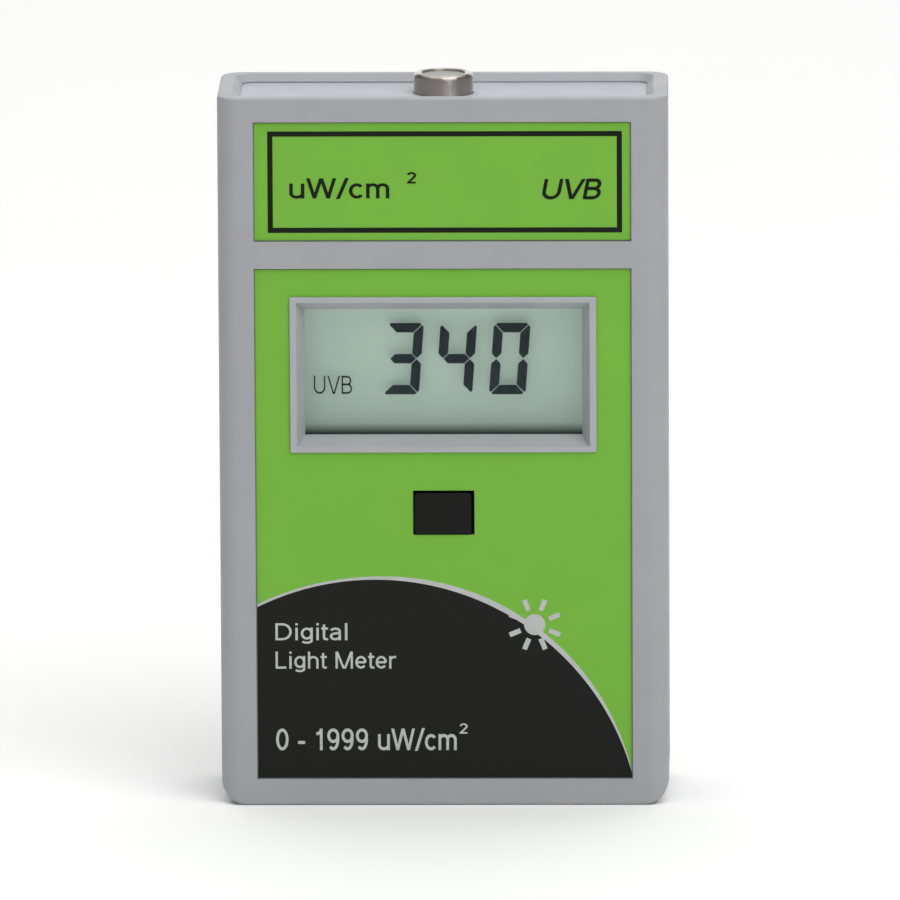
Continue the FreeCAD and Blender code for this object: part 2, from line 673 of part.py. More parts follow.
def converter_pins():
    pins = []
    middle_y = (CHIP_Y[0] + CHIP_Y[1]) / 2
    pattern = gull_wing(CHIP_PIN_WIDTH, CHIP_PIN_REACH, middle_y, BOARD_FRONT_Y, CHIP_PIN_THICK)
    first = -(CHIP_PINS_A_SIDE - 1) / 2 * CHIP_PIN_PITCH
    for quarter in range(4):
        for number in range(CHIP_PINS_A_SIDE):
            pin = pattern.copy()
            pin.translate(V(CHIP_HALF, 0, first + number * CHIP_PIN_PITCH))
            pin.rotate(V(0, 0, 0), Y_AXIS, 90 * quarter)
            pin.translate(V(CHIP_X, 0, DISPLAY_Z))
            pins.append(pin)
    return Part.makeCompound(pins)


def amplifier_chip():
    x, z = AMPLIFIER_PLACE
    chip = slab(AMPLIFIER_HALF, z, AMPLIFIER_Y, x)
    dent_end = V(x - AMPLIFIER_HALF[0], AMPLIFIER_Y[1] + 1, z)
    dent = rod(0.9, V(dent_end.x, AMPLIFIER_Y[1] - 0.3, z), dent_end)
    return chip.cut(dent)


def amplifier_pins():
    x, z = AMPLIFIER_PLACE
    middle_y = (AMPLIFIER_Y[0] + AMPLIFIER_Y[1]) / 2
    first = -(AMPLIFIER_PINS_A_SIDE - 1) / 2 * AMPLIFIER_PIN_PITCH
    pins = []
    for side in (-1, 1):
        edge_z = z + side * AMPLIFIER_HALF[1]
        outer_z = edge_z + side * AMPLIFIER_PIN_REACH
        leg_z = sorted((outer_z - side * AMPLIFIER_PIN_HALF, outer_z))
        for number in range(AMPLIFIER_PINS_A_SIDE):
            centre = x + first + number * AMPLIFIER_PIN_PITCH
            pin_x = (centre - AMPLIFIER_PIN_HALF, centre + AMPLIFIER_PIN_HALF)
            shoulder = block(
                pin_x, (middle_y, middle_y + AMPLIFIER_PIN_HALF), sorted((edge_z, outer_z))
            )
            leg = block(pin_x, (BOARD_BACK_Y, middle_y + AMPLIFIER_PIN_HALF), leg_z)
            pins.append(fuse([shoulder, leg]))
    return Part.makeCompound(pins)


def film_capacitors():
    boxes = []
    for x, z in FILM_CAPACITOR_PLACES:
        y = (BOARD_BACK_Y, BOARD_BACK_Y + FILM_CAPACITOR_HEIGHT)
        body = slab(FILM_CAPACITOR_HALF, z, y, x)
        boxes.append(round_edges(body, 0.4, lambda edge, top=y[1]: in_plane(edge, Y_AXIS, top)))
    return Part.makeCompound(boxes)


def electrolytic_capacitor():
    x, z = ELECTROLYTIC_PLACE
    top_y = BOARD_BACK_Y + ELECTROLYTIC_HEIGHT
    can = rod(ELECTROLYTIC_R, V(x, BOARD_BACK_Y, z), V(x, top_y, z))
    can = round_edges(can, 0.4, lambda edge: in_plane(edge, Y_AXIS, top_y))
    y = (top_y - 0.25, top_y + 1)
    vents = [slab((2.2, 0.15), z, y, x), slab((0.15, 2.2), z, y, x)]
    return can.cut(vents)


def resistors():
    bodies = []
    for x, z in RESISTOR_PLACES:
        ends = [V(x + side * RESISTOR_HALF_LENGTH, RESISTOR_AXIS_Y, z) for side in (-1, 1)]
        body = rod(RESISTOR_R, ends[0], ends[1])
        bodies.append(body.makeFillet(0.3, [e for e in body.Edges if e.Closed]))
    return Part.makeCompound(bodies)


def resistor_leads():
    leads = []
    for x, z in RESISTOR_PLACES:
        for side in (-1, 1):
            route = [
                V(x + side * RESISTOR_HALF_LENGTH, RESISTOR_AXIS_Y, z),
                V(x + side * RESISTOR_LEAD_REACH, RESISTOR_AXIS_Y, z),
                V(x + side * RESISTOR_LEAD_REACH, BOARD_BACK_Y, z),
            ]
            leads.append(bent_wire(route, RESISTOR_LEAD_R))
    return Part.makeCompound(leads)


def trimmer_body():
    x, z = TRIMMER_PLACE
    top_y = BOARD_BACK_Y + TRIMMER_HEIGHT
    body = slab(TRIMMER_HALF, z, (BOARD_BACK_Y, top_y), x)
    pocket_y = top_y - TRIMMER_ROTOR_DEPTH - TRIMMER_ROTOR_GAP
    pocket_r = TRIMMER_ROTOR_R + TRIMMER_ROTOR_GAP
    return body.cut(rod(pocket_r, V(x, pocket_y, z), V(x, top_y + 1, z)))


def trimmer_rotor():
    x, z = TRIMMER_PLACE
    top_y = BOARD_BACK_Y + TRIMMER_HEIGHT
    rotor = rod(TRIMMER_ROTOR_R, V(x, top_y - TRIMMER_ROTOR_DEPTH, z), V(x, top_y, z))
    slot_y = (top_y - TRIMMER_ROTOR_DEPTH / 2, top_y + 1)
    return rotor.cut(slab((TRIMMER_ROTOR_R * 0.8, TRIMMER_SLOT_WIDTH / 2), z, slot_y, x))


# ---- Push button and switch ---------------------------------------------------------------------
def button_cap():
    face_y = OVERLAY_FACE_Y - CAP_PROUD
    back_y = face_y + CAP_DEPTH
    x, z = CAP_OFFSET[0], BUTTON_Z + CAP_OFFSET[1]
    cap = slab(CAP_HALF, z, (face_y, back_y), x)
    cap = round_edges(cap, CAP_EDGE_R, lambda edge: lies_along(edge, Y_AXIS))
    cap = round_edges(cap, CAP_EDGE_R / 2, lambda edge: in_plane(edge, Y_AXIS, face_y))
    flange = slab(CAP_FLANGE_HALF, z, (back_y - CAP_FLANGE_THICK, back_y), x)
    socket_y = (back_y - PLUNGER_SOCKET, back_y + 1)
    socket = slab((PLUNGER_HALF, PLUNGER_HALF), BUTTON_Z, socket_y)
    return fuse([cap, flange]).cut(socket)


def switch_plunger():
    tip_y = OVERLAY_FACE_Y - CAP_PROUD + CAP_DEPTH - PLUNGER_SOCKET
    shaft = slab((PLUNGER_HALF, PLUNGER_HALF), BUTTON_Z, (tip_y, COLLAR_Y[1]))
    collar = slab((COLLAR_HALF, COLLAR_HALF), BUTTON_Z, COLLAR_Y)
    return fuse([shaft, collar])


def switch_body():
    y = (SWITCH_FRONT_Y, BOARD_FRONT_Y)
    housing = slab((SWITCH_HALF, SWITCH_HALF), BUTTON_Z, y)
    housing = round_edges(housing, 0.5, lambda edge: lies_along(edge, Y_AXIS))
    cavity = slab((SWITCH_CAVITY_HALF, SWITCH_CAVITY_HALF), BUTTON_Z, SWITCH_CAVITY_Y)
    bore = slab((SWITCH_BORE_HALF, SWITCH_BORE_HALF), BUTTON_Z, (y[0] - 1, SWITCH_CAVITY_Y[0]))
    return housing.cut(fuse([cavity, bore]))


def switch_spring():
    """A coil of eight-sided wire between the plunger's collar and the switch's floor."""
    start_y = COLLAR_Y[1] + SPRING_WIRE_R
    height = SWITCH_CAVITY_Y[1] - SPRING_WIRE_R - start_y
    helix = Part.makeHelix(height / SPRING_TURNS, height, SPRING_R)
    angles = [2 * math.pi * (side + 0.5) / SPRING_WIRE_SIDES for side in range(SPRING_WIRE_SIDES)]
    corners = [
        V(SPRING_R + SPRING_WIRE_R * math.cos(angle), 0, SPRING_WIRE_R * math.sin(angle))
        for angle in angles
    ]
    section = Part.makePolygon(corners + corners[:1])
    spring = Part.Wire(helix).makePipeShell([section], True, True)
    spring.rotate(V(0, 0, 0), X_AXIS, -90)
    spring.translate(V(0, start_y, BUTTON_Z))
    return spring


# ---- Sensor -------------------------------------------------------------------------------------
def on_sensor_axis(z):
    return V(0, SENSOR_Y, z)


def sensor_can():
    can = rod(CAN_R, on_sensor_axis(CAN_BOTTOM_Z), on_sensor_axis(CAN_TOP_Z))
    can = round_edges(can, CAN_EDGE_R, lambda edge: in_plane(edge, Z_AXIS, CAN_TOP_Z))
    ceiling = CAN_TOP_Z - CAN_WALL
    hollow = rod(CAN_R - CAN_WALL, on_sensor_axis(CAN_BOTTOM_Z - 1), on_sensor_axis(ceiling))
    window = rod(CAN_WINDOW_R, on_sensor_axis(ceiling - 1), on_sensor_axis(CAN_TOP_Z + 1))
    can = can.cut([hollow, window])
    lip = [
        e for e in can.Edges
        if in_plane(e, Z_AXIS, CAN_TOP_Z) and abs(e.BoundBox.XMax - CAN_WINDOW_R) < 0.05
    ]
    return can.makeFillet(0.12, lip)


def sensor_diffuser():
    top = CAN_TOP_Z - CAN_WALL
    return rod(DIFFUSER_R, on_sensor_axis(top - DIFFUSER_THICK), on_sensor_axis(top))


def sensor_header():
    bottom = CAN_BOTTOM_Z - HEADER_THICK
    flange = rod(HEADER_R, on_sensor_axis(bottom), on_sensor_axis(CAN_BOTTOM_Z))
    plug_top = CAN_BOTTOM_Z + HEADER_PLUG_HEIGHT
    return fuse([flange, rod(HEADER_PLUG_R, on_sensor_axis(bottom), on_sensor_axis(plug_top))])


def sensor_die():
    base = CAN_BOTTOM_Z + HEADER_PLUG_HEIGHT
    half = DIE_SIDE / 2
    return block((-half, half), (SENSOR_Y - half, SENSOR_Y + half), (base, base + DIE_THICK))


def sensor_retainer():
    z = (CAN_BOTTOM_Z, PANEL_BOTTOM_Z)
    ring = rod(RETAINER_R, on_sensor_axis(z[0]), on_sensor_axis(z[1]))
    return ring.cut(rod(PANEL_HOLE_R, on_sensor_axis(z[0] - 1), on_sensor_axis(z[1] + 1)))


def sensor_leads():
    start_z = CAN_BOTTOM_Z - HEADER_THICK
    leads = []
    for degrees, landing_z in ((180, 86.5), (0, 86.5), (90, 84.0)):
        angle = math.radians(degrees)
        x = SENSOR_LEAD_CIRCLE_R * math.cos(angle)
        y = SENSOR_Y + SENSOR_LEAD_CIRCLE_R * math.sin(angle)
        formed_y = y + SENSOR_LEAD_FORM
        route = [
            V(x, y, start_z),
            V(x, y, start_z - 1.0),
            V(x, formed_y, start_z - 3.0),
            V(x, formed_y, landing_z),
            V(x, BOARD_BACK_Y, landing_z),
        ]
        leads.append(bent_wire(route, SENSOR_LEAD_R))
    return Part.makeCompound(leads)


# ---- Battery ------------------------------------------------------------------------------------
BATTERY_MIDDLE = V(0, (BATTERY_Y[0] + BATTERY_Y[1]) / 2, (BATTERY_Z[0] + BATTERY_Z[1]) / 2)


def battery():
    body = block(BATTERY_X, BATTERY_Y, BATTERY_Z)
    return round_edges(body, BATTERY_EDGE_R, lambda edge: lies_along(edge, X_AXIS))


def terminal_point(x, side):
    """A point on the axis of the upper (side 1) or the lower (side -1) battery terminal."""
    return V(x, BATTERY_MIDDLE.y, BATTERY_MIDDLE.z + side * TERMINAL_SPACING / 2)


def battery_terminals():
    """The round stud, lower, and the six-sided crown, upper."""
    base_x = BATTERY_X[1]
    tip_x = base_x + TERMINAL_HEIGHT
    stud = rod(STUD_R, terminal_point(base_x, -1), terminal_point(tip_x, -1))
    stud = round_edges(stud, 0.5, lambda edge: in_plane(edge, X_AXIS, tip_x))
    middle = terminal_point(base_x, 1)
    corners = [
        middle + V(0, math.cos(math.radians(a)), math.sin(math.radians(a))) * CROWN_R
        for a in range(0, 360, 60)
    ]
    crown = Part.Face(Part.makePolygon(corners + corners[:1])).extrude(X_AXIS * TERMINAL_HEIGHT)
    bore = rod(CROWN_BORE_R, terminal_point(base_x + CROWN_FLOOR, 1), terminal_point(tip_x + 1, 1))
    return Part.makeCompound([stud, crown.cut(bore)])


def snap_plate():
    y = (BATTERY_MIDDLE.y - SNAP_HALF_Y, BATTERY_MIDDLE.y + SNAP_HALF_Y)
    z = (BATTERY_MIDDLE.z - SNAP_HALF_Z, BATTERY_MIDDLE.z + SNAP_HALF_Z)
    plate = block(SNAP_X, y, z)
    return round_edges(plate, SNAP_CORNER_R, lambda edge: lies_along(edge, X_AXIS))


def snap_contacts():
    """The ring that grips the battery's stud and the stud that enters its crown."""
    ring_start = BATTERY_X[1] + 0.4
    ring = rod(CROWN_R, terminal_point(ring_start, -1), terminal_point(SNAP_X[0], -1))
    bore = rod(STUD_R + 0.05, terminal_point(ring_start - 1, -1), terminal_point(SNAP_X[0], -1))
    stud_start = BATTERY_X[1] + CROWN_FLOOR + 0.3
    stud = rod(STUD_R, terminal_point(stud_start, 1), terminal_point(SNAP_X[0], 1))
    return Part.makeCompound([ring.cut(bore), stud])


def battery_lead(offset_y, landing_x, landing_z):
    """A lead from the top of the snap plate, through the partition's notch, to the board."""
    x = (SNAP_X[0] + SNAP_X[1]) / 2
    y = BATTERY_MIDDLE.y + offset_y
    top = BATTERY_MIDDLE.z + SNAP_HALF_Z
    route = [
        V(x, y, top),
        V(x, y, top + 1.4),
        V(landing_x, LEAD_BEHIND_BOARD_Y, PARTITION_Z[1] + 1.2),
        V(landing_x, LEAD_BEHIND_BOARD_Y, landing_z),
        V(landing_x, BOARD_BACK_Y, landing_z),
    ]
    return bent_wire(route, LEAD_R)


def red_lead():
    return battery_lead(-1.0, 20.6, 41.0)


def black_lead():
    return battery_lead(1.6, 17.8, 38.5)


def foam_pad():
    return block(FOAM_X, (CAVITY_FRONT_Y, CAVITY_FRONT_Y + FOAM_THICK), FOAM_Z)


NODES = [
    front_shell, rear_shell, battery_door, end_panel, case_screws,
    upper_overlay, lower_overlay, rear_label,
    display_bezel, display_window, lcd_front_glass, lcd_rear_glass, lcd_edge_seal,
    lcd_reflector, lcd_carrier, lcd_contact_strips,
    circuit_board, board_screws, converter_chip, converter_pins, amplifier_chip, amplifier_pins,
    film_capacitors, electrolytic_capacitor, resistors, resistor_leads,
    trimmer_body, trimmer_rotor,
    button_cap, switch_plunger, switch_body, switch_spring,
    sensor_can, sensor_diffuser, sensor_header, sensor_die, sensor_retainer, sensor_leads,
    battery, battery_terminals, snap_plate, snap_contacts, red_lead, black_lead, foam_pad,
]


def main():
    os.makedirs("parts", exist_ok=True)
    for build in NODES:
        shape = build()
        solids = shape.Solids
        if not solids or not all(solid.isValid() for solid in solids):
            raise ValueError(f"{build.__name__} is not made of valid solids")
        shape.exportStep(f"parts/{build.__name__}.step")
        volume = sum(solid.Volume for solid in solids)
        print(f"{build.__name__}: {len(solids)} solid(s), {volume:.1f} mm3")


main()
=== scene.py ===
"""Looks for the handheld light meter: finishes for every part, the printed artwork, the display's
reading, and a plain studio. Lengths are metres unless a name says otherwise."""

import bpy
import bmesh
import json
import math
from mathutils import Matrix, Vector
from mathutils.geometry import delaunay_2d_cdt


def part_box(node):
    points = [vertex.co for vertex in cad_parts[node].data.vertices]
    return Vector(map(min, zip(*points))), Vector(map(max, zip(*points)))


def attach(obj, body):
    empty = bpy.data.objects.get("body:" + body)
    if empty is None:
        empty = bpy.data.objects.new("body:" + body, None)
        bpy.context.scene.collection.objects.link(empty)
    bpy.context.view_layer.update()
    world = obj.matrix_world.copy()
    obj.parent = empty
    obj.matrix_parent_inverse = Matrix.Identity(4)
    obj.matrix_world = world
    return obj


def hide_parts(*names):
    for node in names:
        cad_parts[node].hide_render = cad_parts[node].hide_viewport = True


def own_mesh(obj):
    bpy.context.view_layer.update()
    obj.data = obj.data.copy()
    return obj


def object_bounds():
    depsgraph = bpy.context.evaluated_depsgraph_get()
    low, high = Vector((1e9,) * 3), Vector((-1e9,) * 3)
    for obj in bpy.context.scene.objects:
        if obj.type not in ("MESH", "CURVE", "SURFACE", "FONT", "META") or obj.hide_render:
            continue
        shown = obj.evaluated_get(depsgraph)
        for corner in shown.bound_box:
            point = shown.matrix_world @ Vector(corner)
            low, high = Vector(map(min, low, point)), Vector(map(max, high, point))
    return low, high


MM = 0.001
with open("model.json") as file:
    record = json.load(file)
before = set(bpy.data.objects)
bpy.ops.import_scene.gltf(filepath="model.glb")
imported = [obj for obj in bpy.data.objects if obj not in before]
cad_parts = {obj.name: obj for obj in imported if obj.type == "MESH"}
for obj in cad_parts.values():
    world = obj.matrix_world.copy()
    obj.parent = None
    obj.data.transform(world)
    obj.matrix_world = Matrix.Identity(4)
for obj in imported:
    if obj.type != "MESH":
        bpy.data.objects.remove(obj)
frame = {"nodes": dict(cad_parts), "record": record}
CAD_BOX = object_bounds()
NODES = frame["nodes"]

# ---- Artwork, in millimetres from the middle of the case and up from its foot --------------------
INK_THICK = 0.015
INK_LIFT = 0.004  # clear of the film, so that the two faces don't flicker
BORDER_X = (-23.65, 24.35)
BORDER_Z = (79.08, 93.0)
BORDER_LINE = 0.71
FIELD_MIDDLE = (-9.4, -5.2)
FIELD_RADII = (36.15, 36.45)
FIELD_STEPS = 96
SWELL_START = -12.0
SWELL_PEAK = 24.0
SWELL_END = 76.0
SWELL_THIN = 0.34
SWELL_THICK = 0.74
SUN_MIDDLE = (12.3, 25.0)
SUN_DISC_R = 1.45
SUN_RAYS = 8
SUN_TURN = 22.5  # degrees; no ray points straight up or across
SUN_RAY_START = 2.1
SUN_RAY_END = 3.7
SUN_RAY_HALF_WIDTH = 0.34

LABEL_INSET = 1.2  # of the rear label's border from its edge
LABEL_BORDER = 0.4
LABEL_MARGIN = 3.0  # of the words from the border
LABEL_RULE = 0.3
LABEL_RULE_DROP = 9.0
LABEL_LINES = (  # name, words, width, capital height, distance below the border's top
    ("rear_title", "Light Meter", 24.0, 2.7, 5.8),
    ("rear_range", "Range 0 - 1999", 22.0, 2.0, 13.2),
    ("rear_use_first", "Point sensor at source", 30.0, 2.0, 18.2),
    ("rear_use_second", "Press button to read", 27.5, 2.0, 23.2),
    ("rear_battery", "Battery 9 V", 16.0, 2.0, 36.0),
)

# ---- Display reading ------------------------------------------------------------------------------
READING = "340"
DIGIT_HEIGHT = 9.85
DIGIT_WIDTH = 4.98
DIGIT_STROKE = 1.3
DIGIT_GAP = 0.07
DIGIT_CHAMFER = 0.45
DIGIT_SLANT = math.tan(math.radians(4.3))
DIGIT_PITCH = 7.25
DIGIT_FIRST_X = -8.4
DIGIT_DEPTH = 0.6  # of the way from the front glass to the rear one
DIGIT_THICK = 0.03
DIGIT_FOOT_Z = 55.9
PAINTED_SHADE_FROM = 0.15  # above the window's foot, where the painted shade on the display fades from dark to its ground
PAINTED_SHADE_TO = 1.7
# strength of the painted glow that lights the display's ground from within
PAINTED_GLOW = 0.5
SEGMENTS = {"0": "abcdef", "3": "abcdg", "4": "bcfg"}


# ---- Shader helpers -------------------------------------------------------------------------------
def srgb(red, green, blue):
    """A display colour, 0 to 255 a channel, as the linear colour that shaders use."""
    def channel(value):
        value /= 255
        return value / 12.92 if value <= 0.04045 else ((value + 0.055) / 1.055) ** 2.4
    return (channel(red), channel(green), channel(blue), 1.0)


def shade(colour, factor):
    return tuple(min(1.0, channel * factor) for channel in colour[:3]) + (1.0,)


class Finish:
    """A material being built: one Principled shader, and textures in the object's own space."""

    def __init__(self, name, colour, roughness=0.5, metallic=0.0, **sockets):
        self.material = bpy.data.materials.new(name)
        self.material.use_nodes = True
        self.tree = self.material.node_tree
        self.shader = self.tree.nodes["Principled BSDF"]
        self.colour = colour
        self.set("Base Color", colour)
        self.set("Roughness", roughness)
        self.set("Metallic", metallic)
        for socket, value in sockets.items():
            self.set(socket.replace("_", " "), value)
        self.place = self.node("ShaderNodeTexCoord").outputs["Object"]

    def node(self, kind, **values):
        made = self.tree.nodes.new(kind)
        for key, value in values.items():
            if key in made.inputs:
                made.inputs[key].default_value = value
            else:
                setattr(made, key, value)
        return made

    def link(self, source, target):
        self.tree.links.new(source, target)

    def set(self, socket, value):
        self.shader.inputs[socket].default_value = value

    def stretched(self, scale):
        """The object's coordinates multiplied by a scale on each axis."""
        mapping = self.node("ShaderNodeMapping", vector_type="POINT")
        mapping.inputs["Scale"].default_value = scale
        self.link(self.place, mapping.inputs["Vector"])
        return mapping.outputs["Vector"]

    def noise(self, size, detail=3.0, rough=0.5, place=None):
        """Noise whose features are about this size in metres."""
        texture = self.node("ShaderNodeTexNoise", Scale=1 / size, Detail=detail, Roughness=rough)
        self.link(place or self.place, texture.inputs["Vector"])
        return texture.outputs["Fac"]

    def math(self, operation, first, second=0.5, clamp=False):
        made = self.node("ShaderNodeMath", operation=operation, use_clamp=clamp)
        for socket, value in zip(made.inputs, (first, second)):
            if isinstance(value, (int, float)):
                socket.default_value = value
            else:
                self.link(value, socket)
        return made.outputs[0]

    def spread(self, source, low, high, start=0.35, end=0.65):
        """A factor carried to values from low to high."""
        made = self.node("ShaderNodeMapRange")
        made.inputs["From Min"].default_value = start
        made.inputs["From Max"].default_value = end
        made.inputs["To Min"].default_value = low
        made.inputs["To Max"].default_value = high
        self.link(source, made.inputs["Value"])
        return made.outputs["Result"]

    def between(self, source, first, second):
        """A colour between two, by a factor."""
        made = self.node("ShaderNodeMix", data_type="RGBA")
        for socket, value in ((made.inputs[6], first), (made.inputs[7], second)):
            if isinstance(value, tuple):
                socket.default_value = value
            else:
                self.link(value, socket)
        self.link(source, made.inputs[0])
        return made.outputs[2]

    def mottle(self, size, amount):
        """Slightly uneven colour."""
        factor = self.spread(self.noise(size, 4), 0, 1)
        low, high = shade(self.colour, 1 - amount), shade(self.colour, 1 + amount)
        self.link(self.between(factor, low, high), self.shader.inputs["Base Color"])
        return self

    def uneven_gloss(self, size, low, high):
        self.link(self.spread(self.noise(size, 4), low, high), self.shader.inputs["Roughness"])
        return self

    def bump(self, height, depth, strength=1.0):
        """Relief of this depth in metres; more than one is chained."""
        made = self.node("ShaderNodeBump", Strength=strength, Distance=depth)
        self.link(height, made.inputs["Height"])
        before = self.shader.inputs["Normal"].links
        if before:
            self.link(before[0].from_socket, made.inputs["Normal"])
        self.link(made.outputs["Normal"], self.shader.inputs["Normal"])
        return self

    def axis(self, letter):
        """One coordinate of the object, in metres."""
        split = self.node("ShaderNodeSeparateXYZ")
        self.link(self.place, split.inputs[0])
        return split.outputs["XYZ".index(letter)]


# ---- Finishes -------------------------------------------------------------------------------------
CASE_GREY = srgb(158, 160, 164)
# the end panel's own bluer moulding, made lighter than the case as painted light on the top face
PANEL_TONE_AND_PAINTED_LIGHT = srgb(172, 175, 182)
FILM_GREEN = srgb(115, 177, 61)
FIELD_BLACK = srgb(28, 29, 27)
INK_BLACK = srgb(20, 26, 16)
INK_PALE = srgb(184, 186, 184)


def moulded(name, colour, roughness, grain=0.00022, depth=0.000012, specular=0.5):
    """Plastic from a spark-eroded mould: a fine even grain, with faint larger waves."""
    made = Finish(name, colour, roughness, Specular_IOR_Level=specular)
    made.mottle(0.006, 0.02)
    made.uneven_gloss(0.004, roughness - 0.05, roughness + 0.06)
    made.bump(made.noise(0.009, 2), 0.00003, 0.25)
    made.bump(made.noise(grain, 2), depth, 0.5)
    return made


def printed_film(name, colour):
    """Film printed on its back: even colour with the faint mesh of the screen and a light pebble."""
    made = Finish(name, colour, 0.42, Specular_IOR_Level=0.2)
    made.mottle(0.008, 0.015)
    made.uneven_gloss(0.003, 0.36, 0.46)
    made.bump(made.noise(0.00035, 2), 0.000006, 0.4)
    return made


def ink(name, colour):
    made = Finish(name, colour, 0.5, Specular_IOR_Level=0.12)
    made.mottle(0.0015, 0.04)
    made.uneven_gloss(0.001, 0.42, 0.55)
    return made


def clear_sheet(name, colour, alpha):
    """Clear plastic or glass, with faint smears in its gloss."""
    made = Finish(name, colour, 0.08, Alpha=alpha, IOR=1.49)
    made.uneven_gloss(0.006, 0.04, 0.12)
    return made


def reflector_foil():
    """The grey-green ground of the display, with painted shade: darker towards its foot, where the
    frame shades it. A painted glow of its own stands in for what the cell scatters sideways under the
    frame."""
    # the emission colour is a painted glow
    made = Finish("lcd_reflector", srgb(203, 222, 209), 0.6, Emission_Color=srgb(150, 173, 161))
    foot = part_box("display_window")[0].z
    edge = made.spread(made.axis("Z"), 0, 1, foot + PAINTED_SHADE_FROM * MM, foot + PAINTED_SHADE_TO * MM)
    grain = made.between(made.spread(made.noise(0.0003, 2), 0, 1), srgb(198, 218, 205), made.colour)
    # painted shade: the ground goes nearly black towards the window's foot
    made.link(made.between(edge, srgb(14, 18, 15), grain), made.shader.inputs["Base Color"])
    # painted glow, none where the painted shade is darkest
    made.link(made.math("MULTIPLY", edge, PAINTED_GLOW), made.shader.inputs["Emission Strength"])
    made.bump(made.noise(0.0004, 2), 0.00001, 0.4)
    return made


def lcd_ink():
    """Switched-on liquid crystal, nearly black with a green cast."""
    made = Finish("lcd_segments", srgb(24, 40, 46), 0.6, Specular_IOR_Level=0.2)
    made.mottle(0.002, 0.08)
    made.uneven_gloss(0.002, 0.3, 0.4)
    return made


def plated_can():
    """Nickel on drawn steel: faint rings of drawing marks round the can, which draw its highlights
    out along it, and a few soft stains."""
    made = Finish("sensor_steel", srgb(178, 170, 163), 0.34, 1.0, Anisotropic=0.85,
                  Anisotropic_Rotation=0.25)
    made.mottle(0.002, 0.06)
    made.uneven_gloss(0.0012, 0.3, 0.38)
    rings = made.noise(0.00012, 2, 0.5, made.stretched((0.05, 0.05, 1.0)))
    made.bump(rings, 0.0000012, 0.5)
    return made


def turned_metal(name, colour, roughness, metallic=1.0):
    made = Finish(name, colour, roughness, metallic)
    made.mottle(0.001, 0.07)
    made.uneven_gloss(0.0006, roughness * 0.75, min(1.0, roughness * 1.3))
    made.bump(made.noise(0.0002, 3), 0.000005, 0.4)
    return made


def solder_mask():
    """Green lacquer over copper tracks, which show as a raised pattern of runs and steps."""
    made = Finish("board_laminate", srgb(22, 92, 48), 0.3, Coat_Weight=0.4, Coat_Roughness=0.15)
    tracks = made.node("ShaderNodeTexBrick", Scale=1.0)
    tracks.inputs["Color1"].default_value = srgb(30, 112, 60)
    tracks.inputs["Color2"].default_value = srgb(18, 84, 44)
    tracks.inputs["Mortar"].default_value = srgb(14, 66, 36)
    tracks.inputs["Mortar Size"].default_value = 0.02
    tracks.inputs["Brick Width"].default_value = 0.5
    tracks.inputs["Row Height"].default_value = 0.25
    turned = made.node("ShaderNodeMapping")
    turned.inputs["Rotation"].default_value = (math.pi / 2, 0, 0)
    turned.inputs["Scale"].default_value = (150, 150, 150)
    made.link(made.place, turned.inputs["Vector"])
    made.link(turned.outputs["Vector"], tracks.inputs["Vector"])
    made.link(tracks.outputs["Color"], made.shader.inputs["Base Color"])
    made.bump(tracks.outputs["Fac"], 0.00004, -0.6)
    return made


def battery_jacket():
    """A steel jacket in two plain colours, split across the battery's length."""
    made = Finish("battery_jacket", srgb(38, 62, 104), 0.35, 0.6)
    low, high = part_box("battery")
    along = made.axis("X")
    border = low.x + (high.x - low.x) * 0.68
    band = made.spread(along, 0, 1, border - 0.0001, border + 0.0001)
    scuffs = made.spread(made.noise(0.0015, 5), 0.9, 1.08)
    tone = made.between(band, srgb(38, 62, 104), srgb(176, 178, 182))
    mixed = made.node("ShaderNodeVectorMath", operation="SCALE")
    made.link(tone, mixed.inputs[0])
    made.link(scuffs, mixed.inputs["Scale"])
    made.link(mixed.outputs[0], made.shader.inputs["Base Color"])
    made.uneven_gloss(0.002, 0.28, 0.42)
    made.bump(made.noise(0.004, 3), 0.00002, 0.3)
    return made


def striped_rubber():
    """Elastomer strips: thin dark conducting layers between pale insulating ones."""
    made = Finish("contact_rubber", srgb(120, 112, 140), 0.6)
    wave = made.node("ShaderNodeTexWave", Scale=1800.0, bands_direction="X")
    made.link(made.place, wave.inputs["Vector"])
    tone = made.between(wave.outputs["Fac"], srgb(40, 38, 44), srgb(150, 140, 170))
    made.link(tone, made.shader.inputs["Base Color"])
    return made


def open_foam():
    made = Finish("foam", srgb(52, 53, 56), 0.95)
    cells = made.node("ShaderNodeTexVoronoi", Scale=1600.0)
    made.link(made.place, cells.inputs["Vector"])
    tone = made.between(cells.outputs["Distance"], srgb(28, 28, 30), srgb(70, 71, 74))
    made.link(tone, made.shader.inputs["Base Color"])
    made.bump(cells.outputs["Distance"], 0.0002, 0.8)
    return made


def banded_resistor():
    """Pale blue lacquer with colour bands across the body."""
    made = Finish("resistor_coat", srgb(120, 158, 178), 0.35)
    wave = made.node("ShaderNodeTexWave", Scale=420.0, bands_direction="X")
    made.link(made.place, wave.inputs["Vector"])
    band = made.spread(wave.outputs["Fac"], 0, 1, 0.86, 0.9)
    colours = made.between(made.spread(made.noise(0.002, 0), 0, 1, 0.45, 0.55),
                           srgb(120, 60, 30), srgb(190, 150, 40))
    made.link(made.between(band, made.colour, colours), made.shader.inputs["Base Color"])
    made.uneven_gloss(0.001, 0.28, 0.42)
    return made


